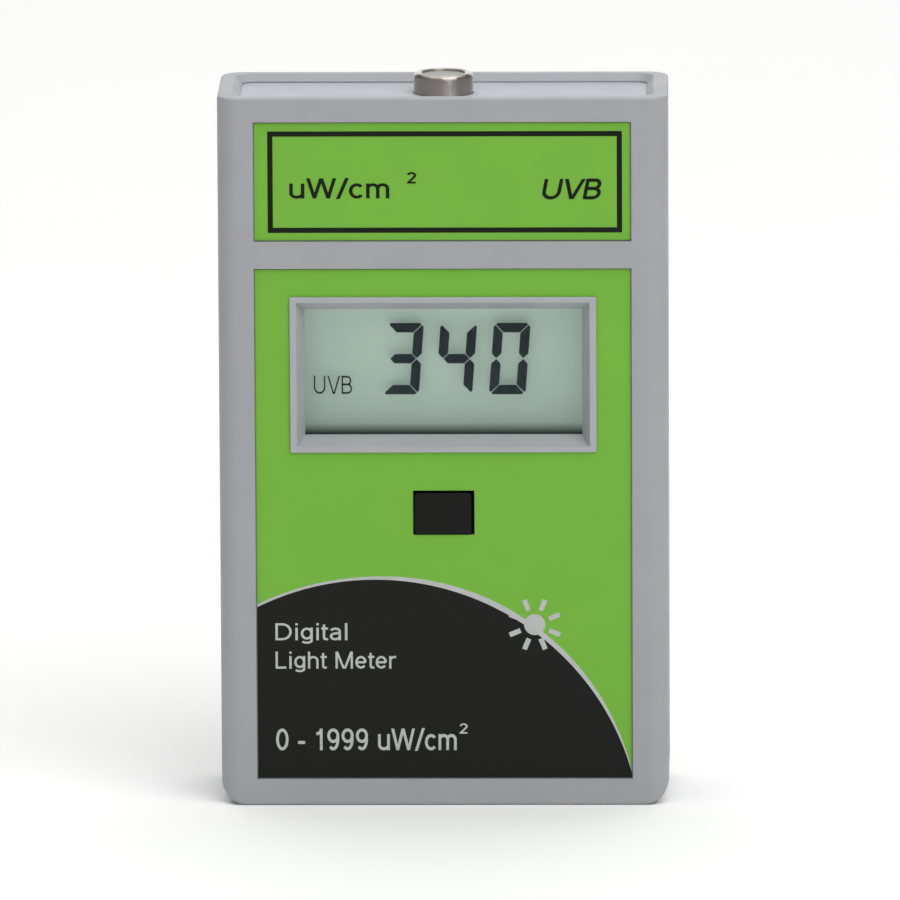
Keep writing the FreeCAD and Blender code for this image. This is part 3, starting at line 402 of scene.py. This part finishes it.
def build_finishes():
    """One finish for each of the record's material slots."""
    made = {
        "case_plastic": moulded("case_plastic", CASE_GREY, 0.48),
        "panel_plastic": moulded("panel_plastic", PANEL_TONE_AND_PAINTED_LIGHT, 0.5),
        "upper_overlay_print": printed_film("upper_overlay_print", FILM_GREEN),
        "lower_overlay_print": printed_film("lower_overlay_print", FILM_GREEN),
        "rear_label_print": printed_film("rear_label_print", srgb(196, 199, 200)),
        "bezel_plastic": moulded("bezel_plastic", srgb(166, 169, 172), 0.4, 0.00015, 0.000005),
        "clear_window": clear_sheet("clear_window", srgb(60, 66, 62), 0.03),
        "lcd_glass": clear_sheet("lcd_glass", srgb(60, 70, 62), 0.03),
        "lcd_seal": moulded("lcd_seal", srgb(120, 126, 118), 0.5),
        "lcd_reflector": reflector_foil(),
        "carrier_plastic": moulded("carrier_plastic", srgb(48, 48, 50), 0.55),
        "contact_rubber": striped_rubber(),
        "board_laminate": solder_mask(),
        "screw_steel": turned_metal("screw_steel", srgb(176, 177, 180), 0.32),
        "chip_plastic": moulded("chip_plastic", srgb(34, 34, 36), 0.6, 0.00012, 0.000006),
        "tinned_metal": turned_metal("tinned_metal", srgb(200, 200, 196), 0.25),
        "film_capacitor": moulded("film_capacitor", srgb(190, 140, 40), 0.3, 0.0008, 0.00002),
        "capacitor_sleeve": moulded("capacitor_sleeve", srgb(30, 36, 62), 0.3, 0.001, 0.00001),
        "resistor_coat": banded_resistor(),
        "trimmer_plastic": moulded("trimmer_plastic", srgb(36, 84, 168), 0.4),
        "trimmer_brass": turned_metal("trimmer_brass", srgb(206, 176, 104), 0.35),
        "button_plastic": moulded("button_plastic", srgb(26, 27, 25), 0.5, 0.00018, 0.000008, 0.1),
        "switch_plastic": moulded("switch_plastic", srgb(40, 40, 42), 0.5),
        "plunger_plastic": moulded("plunger_plastic", srgb(210, 210, 206), 0.5),
        "spring_steel": turned_metal("spring_steel", srgb(170, 170, 172), 0.3),
        "sensor_steel": plated_can(),
        "sensor_diffuser": moulded("sensor_diffuser", srgb(146, 148, 144), 0.5, 0.0002, 0.000004),
        "header_gold": turned_metal("header_gold", srgb(214, 178, 110), 0.28),
        "sensor_die": turned_metal("sensor_die", srgb(60, 62, 84), 0.15, 0.4),
        "retainer_plastic": moulded("retainer_plastic", srgb(44, 44, 46), 0.55),
        "battery_jacket": battery_jacket(),
        "snap_vinyl": moulded("snap_vinyl", srgb(34, 34, 36), 0.45, 0.0006, 0.00002),
        "red_insulation": moulded("red_insulation", srgb(190, 30, 26), 0.35, 0.0006, 0.00001),
        "black_insulation": moulded("black_insulation", srgb(30, 30, 32), 0.35, 0.0006, 0.00001),
        "foam": open_foam(),
    }
    return {slot: finish.material for slot, finish in made.items()}


def dress_nodes(finishes):
    """Gives every CAD node the finish of the slot that the record names for it."""
    for entry in frame["record"]["subparts"]:
        node = NODES[entry["node"]]
        material = finishes[entry["material_slot"]]
        if not node.data.materials:
            node.data.materials.append(material)
        for number in range(len(node.material_slots)):
            node.material_slots[number].material = material


# ---- Lettering ------------------------------------------------------------------------------------
# A plain drawing-office alphabet: strokes along centre lines, in units of the capital's height.
STROKE = 0.125
X_TOP = 0.74 - STROKE / 2  # centre line of the small letters' top
CAP_TOP = 1 - STROKE / 2
FOOT = STROKE / 2
WAIST = 0.525


def bow(x, y, wide, high, start, end):
    """Points along part of an ellipse, between two angles in degrees."""
    steps = max(2, round(abs(end - start) / 12))
    turns = [math.radians(start + (end - start) * step / steps) for step in range(steps + 1)]
    return [(x + wide * math.cos(turn), y + high * math.sin(turn)) for turn in turns]


def stem(x, top=1.0, foot=0.0):
    return [(x, foot), (x, top)]


def small_round(x=0.36, start=0, end=360):
    return bow(x, 0.37, 0.25, X_TOP - 0.37, start, end)


def arch(left, right):
    """A small letter's arch between two stems, with the right stem's lower part."""
    middle, wide = (left + right) / 2, (right - left) / 2
    return bow(middle, 0.49, wide, X_TOP - 0.49, 180, 0) + [(right, 0)]


def lobe(right, top, foot, straight):
    """The round side of a capital, from its stem at the top and back at the foot."""
    middle, high = (top + foot) / 2, (top - foot) / 2
    return [(0.13, top)] + bow(straight, middle, right - straight, high, 90, -90) + [(0.13, foot)]


# Each letter: its width, then its strokes. Slanting strokes run past the line and are cut level.
LETTERS = {
    " ": (0.39,),
    "-": (0.46, [(0.05, 0.36), (0.41, 0.36)]),
    "/": (0.42, [(0.0, -0.06), (0.40, 1.06)]),
    "0": (0.74, bow(0.37, 0.5, 0.25, CAP_TOP - 0.5, 0, 360)),
    "1": (0.66, stem(0.40), [(0.40, 0.93), (0.32, 0.80), (0.15, 0.75)]),
    "2": (0.74, bow(0.36, 0.71, 0.23, CAP_TOP - 0.71, 170, -32) + [(0.13, FOOT)],
          [(0.06, FOOT), (0.64, FOOT)]),
    "9": (0.74, bow(0.36, 0.67, 0.24, CAP_TOP - 0.67, 0, 360),
          bow(0.355, 0.5, 0.245, CAP_TOP - 0.5, 25, -130)),
    "B": (0.88, stem(0.13), lobe(0.69, CAP_TOP, WAIST, 0.48), lobe(0.74, WAIST, FOOT, 0.48)),
    "D": (0.98, stem(0.13), lobe(0.83, CAP_TOP, FOOT, 0.42)),
    "L": (0.74, stem(0.13), [(0.13, FOOT), (0.66, FOOT)]),
    "M": (1.12, stem(0.13), stem(0.97), [(0.10, 1.12), (0.575, -0.14)], [(1.00, 1.12), (0.525, -0.14)]),
    "P": (0.86, stem(0.13), lobe(0.74, CAP_TOP, 0.46, 0.48)),
    "R": (0.92, stem(0.13), lobe(0.73, CAP_TOP, 0.49, 0.48), [(0.44, 0.55), (0.80, -0.12)]),
    "U": (0.98, [(0.13, 1.0)] + bow(0.47, 0.37, 0.34, 0.37 - FOOT, 180, 360) + [(0.81, 1.0)]),
    "V": (0.90, [(0.03, 1.10), (0.485, -0.14)], [(0.87, 1.10), (0.415, -0.14)]),
    "W": (1.28, [(0.05, 1.10), (0.37, -0.12)], [(0.30, -0.12), (0.645, 1.12)],
          [(0.585, 1.12), (0.93, -0.12)], [(0.86, -0.12), (1.18, 1.10)]),
    "a": (0.73, stem(0.56, 0.53), bow(0.345, 0.53, 0.215, X_TOP - 0.53, 0, 165),
          [(0.56, 0.43)] + bow(0.31, 0.225, 0.185, 0.165, 90, 270)
          + bow(0.31, 0.225, 0.25, 0.165, 270, 360)),
    "b": (0.74, stem(0.13), small_round(0.38)),
    "c": (0.68, small_round(0.36, 42, 318)),
    "d": (0.74, stem(0.61), small_round(0.36)),
    "e": (0.73, small_round(0.36, 0, 322), [(0.13, 0.37), (0.61, 0.37)]),
    "g": (0.75, stem(0.60, 0.74, -0.02), bow(0.36, 0.39, 0.24, X_TOP - 0.39, 0, 360),
          bow(0.36, -0.02, 0.24, 0.125, 0, -155)),
    "h": (0.74, stem(0.13), arch(0.13, 0.59)),
    "i": (0.31, stem(0.155, 0.74), stem(0.155, 1.0, 0.87)),
    "l": (0.31, stem(0.155)),
    "m": (1.10, stem(0.13, 0.74), arch(0.13, 0.53), arch(0.53, 0.93)),
    "n": (0.74, stem(0.13, 0.74), arch(0.13, 0.59)),
    "o": (0.73, small_round()),
    "r": (0.46, stem(0.13, 0.74), bow(0.37, 0.47, 0.24, X_TOP - 0.47, 180, 90) + [(0.45, X_TOP)]),
    "s": (0.67, bow(0.33, 0.535, 0.21, X_TOP - 0.535, 18, 270)
          + bow(0.33, 0.2325, 0.225, 0.2325 - FOOT, 90, -165)),
    "t": (0.40, [(0.17, 0.92)] + bow(0.27, 0.165, 0.10, 0.165 - FOOT, 180, 270) + [(0.37, FOOT)],
          [(0.03, 0.685), (0.37, 0.685)]),
    "u": (0.74, stem(0.60, 0.74), [(0.13, 0.74)] + bow(0.365, 0.25, 0.235, 0.25 - FOOT, 180, 360)),
    "y": (0.68, [(0.04, 0.82), (0.375, -0.02)],
          [(0.64, 0.82), (0.34, -0.02), (0.25, -0.13), (0.10, -0.15)]),
}
LEVEL_CUT = {"M": (0, 1), "R": (0, 1), "V": (0, 1), "W": (0, 1), "y": (-0.3, 0.74), "/": (-0.03, 1.02)}
NO_CUT = (-0.3, 1.1)


def ribbon(points, width):
    """Four-sided pieces that together cover a stroke of this width along the points."""
    edges = []
    for number, point in enumerate(points):
        here = Vector(point)
        before = Vector(points[max(0, number - 1)])
        after = Vector(points[min(len(points) - 1, number + 1)])
        if (Vector(points[0]) - Vector(points[-1])).length < 1e-6 and number in (0, len(points) - 1):
            before, after = Vector(points[-2]), Vector(points[1])
        way_in = (here - before).normalized()
        way_out = (after - here).normalized()
        along = (way_in + way_out).normalized()
        reach = max(along.dot(way_out or way_in), along.dot(way_in or way_out), 0.5)
        side = Vector((-along.y, along.x)) * width / 2 / reach
        edges.append((here + side, here - side))
    return [[a[0], b[0], b[1], a[1]] for a, b in zip(edges, edges[1:])]


def cut_level(shape, low, high):
    """The part of a convex shape between two heights."""
    for level, keep in ((low, 1), (high, -1)):
        kept = []
        for a, b in zip(shape, shape[1:] + shape[:1]):
            inside_a, inside_b = (a.y - level) * keep >= 0, (b.y - level) * keep >= 0
            if inside_a:
                kept.append(a)
            if inside_a != inside_b:
                kept.append(a.lerp(b, (level - a.y) / (b.y - a.y)))
        shape = kept
    return shape


def words_shapes(words, weight):
    """The shapes of a line of words in capital-height units, and the width that it covers."""
    shapes = []
    pen = 0.0
    for letter in words:
        advance, *strokes = LETTERS[letter]
        low, high = LEVEL_CUT.get(letter, NO_CUT)
        for stroke in strokes:
            for piece in ribbon(stroke, weight):
                piece = cut_level(piece, low, high)
                if len(piece) > 2:
                    shapes.append([Vector((point.x + pen, point.y)) for point in piece])
        pen += advance
    return shapes


def lettering(name, words, left, foot, width, height, y, material,
              facing=-1, weight=STROKE, slant=0.0):
    """Words fitted to a width and a capital height, standing on a line, in millimetres."""
    shapes = words_shapes(words, weight)
    first = min(point.x for shape in shapes for point in shape)
    last = max(point.x for shape in shapes for point in shape)
    scale = (width - height * slant) / (last - first)
    placed = [
        [(left + (x - first) * scale + z * height * slant, foot + z * height) for x, z in shape]
        for shape in shapes
    ]
    return plate(name, placed, y, material, facing)


# ---- Printed pieces -------------------------------------------------------------------------------
def ink_face_y(node, facing=-1):
    """Where ink on the front (facing -1) or the back (facing 1) of a film starts."""
    low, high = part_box(node)
    return low.y - INK_LIFT * MM if facing < 0 else high.y + INK_LIFT * MM


def holds(shape, x, z):
    """Whether a point is inside a closed shape."""
    inside = False
    for (ax, az), (bx, bz) in zip(shape, shape[1:] + shape[:1]):
        if (az > z) != (bz > z) and x < ax + (bx - ax) * (z - az) / (bz - az):
            inside = not inside
    return inside


def plate(name, shapes, y, material, facing=-1, thick=INK_THICK):
    """One thin flat piece that covers all of these shapes in x and z, in millimetres."""
    corners = []
    outlines = []
    for shape in shapes:
        outlines.append(list(range(len(corners), len(corners) + len(shape))))
        corners += [Vector(point) for point in shape]
    edges = [(a, b) for outline in outlines for a, b in zip(outline, outline[1:] + outline[:1])]
    points, _, faces = delaunay_2d_cdt(corners, edges, [], 0, 1e-4, False)[:3]
    builder = bmesh.new()
    verts = [builder.verts.new((-facing * point.x * MM, y, point.y * MM)) for point in points]
    for face in faces:
        middle = sum((points[number] for number in face), Vector((0, 0))) / len(face)
        if any(holds(shape, middle.x, middle.y) for shape in shapes):
            builder.faces.new([verts[number] for number in face])
    unused = [vert for vert in builder.verts if not vert.link_faces]
    bmesh.ops.delete(builder, geom=unused, context="VERTS")
    bmesh.ops.recalc_face_normals(builder, faces=builder.faces[:])
    front = bmesh.ops.extrude_face_region(builder, geom=builder.faces[:])
    moved = [part for part in front["geom"] if isinstance(part, bmesh.types.BMVert)]
    bmesh.ops.translate(builder, verts=moved, vec=(0, facing * thick * MM, 0))
    bmesh.ops.recalc_face_normals(builder, faces=builder.faces[:])
    mesh = bpy.data.meshes.new(name)
    builder.to_mesh(mesh)
    builder.free()
    mesh.materials.append(material)
    piece = bpy.data.objects.new(name, mesh)
    bpy.context.scene.collection.objects.link(piece)
    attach(piece, "case")
    return piece


def frame_bars(x, z, line):
    """The four bars of a rectangular border."""
    left, right = x
    foot, top = z
    bars = (
        (left, right, foot, foot + line), (left, right, top - line, top),
        (left, left + line, foot, top), (right - line, right, foot, top),
    )
    return [[(a, c), (b, c), (b, d), (a, d)] for a, b, c, d in bars]


def print_upper_overlay(black):
    y = ink_face_y("upper_overlay")
    plate("unit_border", frame_bars(BORDER_X, BORDER_Z, BORDER_LINE), y, black)
    lettering("unit_words", "uW/cm", -20.7, 83.81, 13.55, 2.76, y, black, weight=0.145)
    lettering("unit_power", "2", -4.75, 85.87, 1.25, 1.52, y, black, weight=0.17)
    lettering("band_words", "UVB", 13.35, 83.67, 8.5, 2.76, y, black, weight=0.165, slant=0.2)


def field_edge(side, lift=None):
    """Points on the dark field's round top edge, between the film's two sides, from the right to
    the left; with a lift, each is moved outwards by the pale line's width there."""
    middle_x, middle_z = FIELD_MIDDLE
    wide, high = FIELD_RADII
    start = math.degrees(math.asin((side - middle_x) / wide))
    end = -math.degrees(math.asin((side + middle_x) / wide))
    points = []
    for step in range(FIELD_STEPS + 1):
        angle = start + (end - start) * step / FIELD_STEPS
        out = lift(angle) if lift else 0
        x = middle_x + (wide + out) * math.sin(math.radians(angle))
        z = middle_z + (high + out) * math.cos(math.radians(angle))
        points.append((max(-side, min(side, x)), z))
    return points


def line_width(angle):
    """The pale line's width in millimetres at an angle from the top of the field's circle."""
    if angle < SWELL_PEAK:
        share = max(0.0, (angle - SWELL_START) / (SWELL_PEAK - SWELL_START))
        share = share * share * (3 - 2 * share)
        return SWELL_THIN + (SWELL_THICK - SWELL_THIN) * share
    share = min(1.0, (angle - SWELL_PEAK) / (SWELL_END - SWELL_PEAK))
    return SWELL_THICK * (1 - share * share) + 0.02


def print_lower_overlay(black, pale):
    y = ink_face_y("lower_overlay")
    side, foot_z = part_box("lower_overlay")[1].x / MM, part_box("lower_overlay")[0].z / MM
    edge = field_edge(side)
    foot = [(-side, foot_z), (side, foot_z)]
    plate("dark_field", [edge + foot], y, black)
    plate("pale_line", [field_edge(side, line_width) + edge[::-1]], y, pale)
    over = y - INK_THICK * MM - INK_LIFT * MM
    lettering("title_first", "Digital", -23.0, 22.87, 9.8, 2.36, over, pale)
    lettering("title_second", "Light Meter", -23.0, 18.93, 16.4, 2.36, over, pale)
    lettering("range_words", "0 - 1999 uW/cm", -23.0, 7.6, 24.6, 3.0, over, pale, weight=0.14)
    lettering("range_power", "2", 2.0, 9.9, 1.1, 1.4, over, pale, weight=0.14)
    middle_x, middle_z = SUN_MIDDLE
    disc = [
        (middle_x + SUN_DISC_R * math.cos(turn), middle_z + SUN_DISC_R * math.sin(turn))
        for turn in [2 * math.pi * step / 48 for step in range(48)]
    ]
    shapes = [disc]
    for number in range(SUN_RAYS):
        turn = math.radians(SUN_TURN) + 2 * math.pi * number / SUN_RAYS
        out = Vector((math.cos(turn), math.sin(turn)))
        side = Vector((-out.y, out.x)) * SUN_RAY_HALF_WIDTH
        base = Vector(SUN_MIDDLE) + out * SUN_RAY_START
        tip = Vector(SUN_MIDDLE) + out * SUN_RAY_END
        shapes.append([tuple(base - side), tuple(tip - side), tuple(tip + side), tuple(base + side)])
    plate("sun_mark", shapes, over, pale)


def print_rear_label(black):
    y = ink_face_y("rear_label", 1)
    low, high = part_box("rear_label")
    left, right = low.x / MM + LABEL_INSET, high.x / MM - LABEL_INSET
    foot, top = low.z / MM + LABEL_INSET, high.z / MM - LABEL_INSET
    plate("rear_border", frame_bars((left, right), (foot, top), LABEL_BORDER), y, black, 1)
    start, end = left + LABEL_MARGIN, right - LABEL_MARGIN
    for name, words, width, height, drop in LABEL_LINES:
        lettering(name, words, start, top - drop, width, height, y, black, 1)
    ruled = top - LABEL_RULE_DROP
    rule = [(start, ruled), (end, ruled), (end, ruled + LABEL_RULE), (start, ruled + LABEL_RULE)]
    plate("rear_rule", [rule], y, black, 1)


# ---- The display's reading ------------------------------------------------------------------------
def segment(letter):
    """The outline of one bar of a seven-bar digit, upright, in millimetres from its lower left."""
    wide, tall, bar, gap = DIGIT_WIDTH, DIGIT_HEIGHT, DIGIT_STROKE, DIGIT_GAP
    cut = DIGIT_CHAMFER
    waist = tall / 2
    upright = [(0, tall - cut - gap), (cut / 2, tall - cut / 2 - gap), (bar, tall - bar - gap),
               (bar, waist + bar / 2 + gap), (bar / 2, waist + gap), (0, waist + bar / 2 + gap)]
    level = [(cut / 2 + gap, tall - cut / 2), (cut + gap, tall), (wide - cut - gap, tall),
             (wide - cut / 2 - gap, tall - cut / 2), (wide - bar - gap, tall - bar),
             (bar + gap, tall - bar)]
    across = [(bar / 2 + gap, waist), (bar + gap, waist + bar / 2), (wide - bar - gap, waist + bar / 2),
              (wide - bar / 2 - gap, waist), (wide - bar - gap, waist - bar / 2),
              (bar + gap, waist - bar / 2)]

    def mirrored(points, flip_x, flip_z):
        return [(wide - x if flip_x else x, tall - z if flip_z else z) for x, z in points]

    return {
        "a": level,
        "b": mirrored(upright, True, False),
        "c": mirrored(upright, True, True),
        "d": mirrored(level, False, True),
        "e": mirrored(upright, False, True),
        "f": upright,
        "g": across,
    }[letter]


def show_reading(material):
    """The digits and the small band mark, in the cell between the display's two glasses."""
    cell_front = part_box("lcd_front_glass")[1].y
    cell_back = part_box("lcd_rear_glass")[0].y
    y = cell_front + (cell_back - cell_front) * DIGIT_DEPTH
    for number, digit in enumerate(READING):
        left = DIGIT_FIRST_X + number * DIGIT_PITCH
        loops = [
            [(left + x + z * DIGIT_SLANT, DIGIT_FOOT_Z + z) for x, z in segment(letter)]
            for letter in SEGMENTS[digit]
        ]
        plate(f"digit_{number + 1}", loops, y, material, thick=DIGIT_THICK)
    lettering("band_mark", "UVB", -17.7, 55.95, 5.2, 2.55, y, material, weight=0.1)


# ---- Pieces that give ------------------------------------------------------------------------------
PAD_CUTS = 15
PAD_SQUARENESS = 7  # of the superellipsoid; higher is boxier
PAD_WAIST = 0.03  # how far the sides draw in between the corners


def crown_foam(material):
    """The foam that steadies the battery: crowned faces, soft edges and drawn-in sides."""
    low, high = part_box("foam_pad")
    middle, half = (low + high) / 2, (high - low) / 2
    builder = bmesh.new()
    bmesh.ops.create_cube(builder, size=2)
    bmesh.ops.subdivide_edges(builder, edges=builder.edges[:], cuts=PAD_CUTS, use_grid_fill=True)
    for vert in builder.verts:
        size = sum(abs(value) ** PAD_SQUARENESS for value in vert.co) ** (1 / PAD_SQUARENESS)
        x, y, z = vert.co / size
        x *= 1 - PAD_WAIST * (1 - z * z)
        z *= 1 - PAD_WAIST * (1 - x * x)
        vert.co = (middle.x + half.x * x, middle.y + half.y * y, middle.z + half.z * z)
    mesh = bpy.data.meshes.new("crowned_foam")
    builder.to_mesh(mesh)
    builder.free()
    mesh.materials.append(material)
    mesh.shade_smooth()
    pad = bpy.data.objects.new("crowned_foam", mesh)
    bpy.context.scene.collection.objects.link(pad)
    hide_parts("foam_pad")
    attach(pad, "case")


def give_spring():
    """The switch's return spring, as a copy of its CAD node with a mesh of its own, carried by the
    case.
    """
    spring = bpy.data.objects.new("return_spring", NODES["switch_spring"].data.copy())
    bpy.context.scene.collection.objects.link(spring)
    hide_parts("switch_spring")
    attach(spring, "case")
    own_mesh(spring)


# ---- Studio ---------------------------------------------------------------------------------------
CAMERA_DISTANCE = 2.2
CAMERA_TURN = 1.2  # degrees towards the object's right-hand side
CAMERA_RISE = 10.44
CAMERA_ROLL = -0.29
CAMERA_LENS = 648.4
AIM_SIDE = 0.000894  # right of the case's middle
AIM_HEIGHT = 0.04923
WORLD_STRENGTH = 0.15
GLASS_BOUNCES = 32  # both glasses, the window and the digits, there and back
LAMPS = (  # name, place, aim, size, watts
    ("key", (0.6, -1.0, 1.3), (0, 0, 0.05), (1.4, 1.2), 16.0),
    ("fill", (-0.6, -1.0, 1.3), (0, 0, 0.05), (1.4, 1.2), 3.0),
    ("overhead", (0, 0.5, 1.8), (0, 0.4, 0), (2.6, 2.4), 29.5),
    ("back", (0, 2.7, 0.75), (0, 0, 0.3), (3.6, 1.5), 20.0),
    ("strip", (0.22, -0.45, 0.28), (0, 0, 0.098), (0.05, 0.3), 0.12),  # the sensor can's highlight
)


def set_camera():
    low, high = CAD_BOX
    aim = Vector((AIM_SIDE, low[1], AIM_HEIGHT))
    turn, rise = math.radians(CAMERA_TURN), math.radians(CAMERA_RISE)
    ahead = Vector((-math.sin(turn) * math.cos(rise), math.cos(turn) * math.cos(rise), -math.sin(rise)))
    camera = bpy.data.cameras.new("camera")
    camera.lens = CAMERA_LENS
    camera.sensor_width = 36
    camera.clip_start = 0.1
    camera.clip_end = 20
    stand = bpy.data.objects.new("camera", camera)
    stand.location = aim - ahead * CAMERA_DISTANCE
    stand.rotation_euler = ahead.to_track_quat("-Z", "Y").to_euler()
    stand.rotation_euler.rotate_axis("Z", math.radians(CAMERA_ROLL))
    bpy.context.scene.collection.objects.link(stand)
    bpy.context.scene.camera = stand


def softbox(name, place, aim, size, power):
    lamp = bpy.data.lights.new(name, "AREA")
    lamp.shape = "RECTANGLE"
    lamp.size, lamp.size_y = size
    lamp.energy = power
    stand = bpy.data.objects.new(name, lamp)
    stand.visible_camera = False
    stand.location = place
    stand.rotation_euler = (Vector(aim) - Vector(place)).to_track_quat("-Z", "Y").to_euler()
    bpy.context.scene.collection.objects.link(stand)


def set_studio():
    floor = bpy.data.meshes.new("floor")
    builder = bmesh.new()
    bmesh.ops.create_grid(builder, x_segments=2, y_segments=2, size=4.0)
    builder.to_mesh(floor)
    builder.free()
    ground = bpy.data.objects.new("floor", floor)
    bpy.context.scene.collection.objects.link(ground)
    paper = Finish("floor_paper", srgb(250, 250, 249), 0.85)
    paper.mottle(0.05, 0.004)
    paper.bump(paper.noise(0.002, 2), 0.00001, 0.2)
    floor.materials.append(paper.material)
    for lamp in LAMPS:
        softbox(*lamp)
    world = bpy.data.worlds.new("studio")
    world.use_nodes = True
    world.node_tree.nodes["Background"].inputs["Color"].default_value = (1, 1, 1, 1)
    world.node_tree.nodes["Background"].inputs["Strength"].default_value = WORLD_STRENGTH
    bpy.context.scene.world = world
    bpy.context.scene.view_settings.view_transform = "Standard"
    bpy.context.scene.cycles.transparent_max_bounces = GLASS_BOUNCES


def main():
    set_camera()
    finishes = build_finishes()
    dress_nodes(finishes)
    black = ink("ink_black", INK_BLACK).material
    field = ink("ink_field", FIELD_BLACK).material
    pale = ink("ink_pale", INK_PALE).material
    print_upper_overlay(black)
    print_lower_overlay(field, pale)
    print_rear_label(black)
    show_reading(lcd_ink().material)
    crown_foam(finishes["foam"])
    give_spring()
    set_studio()


main()
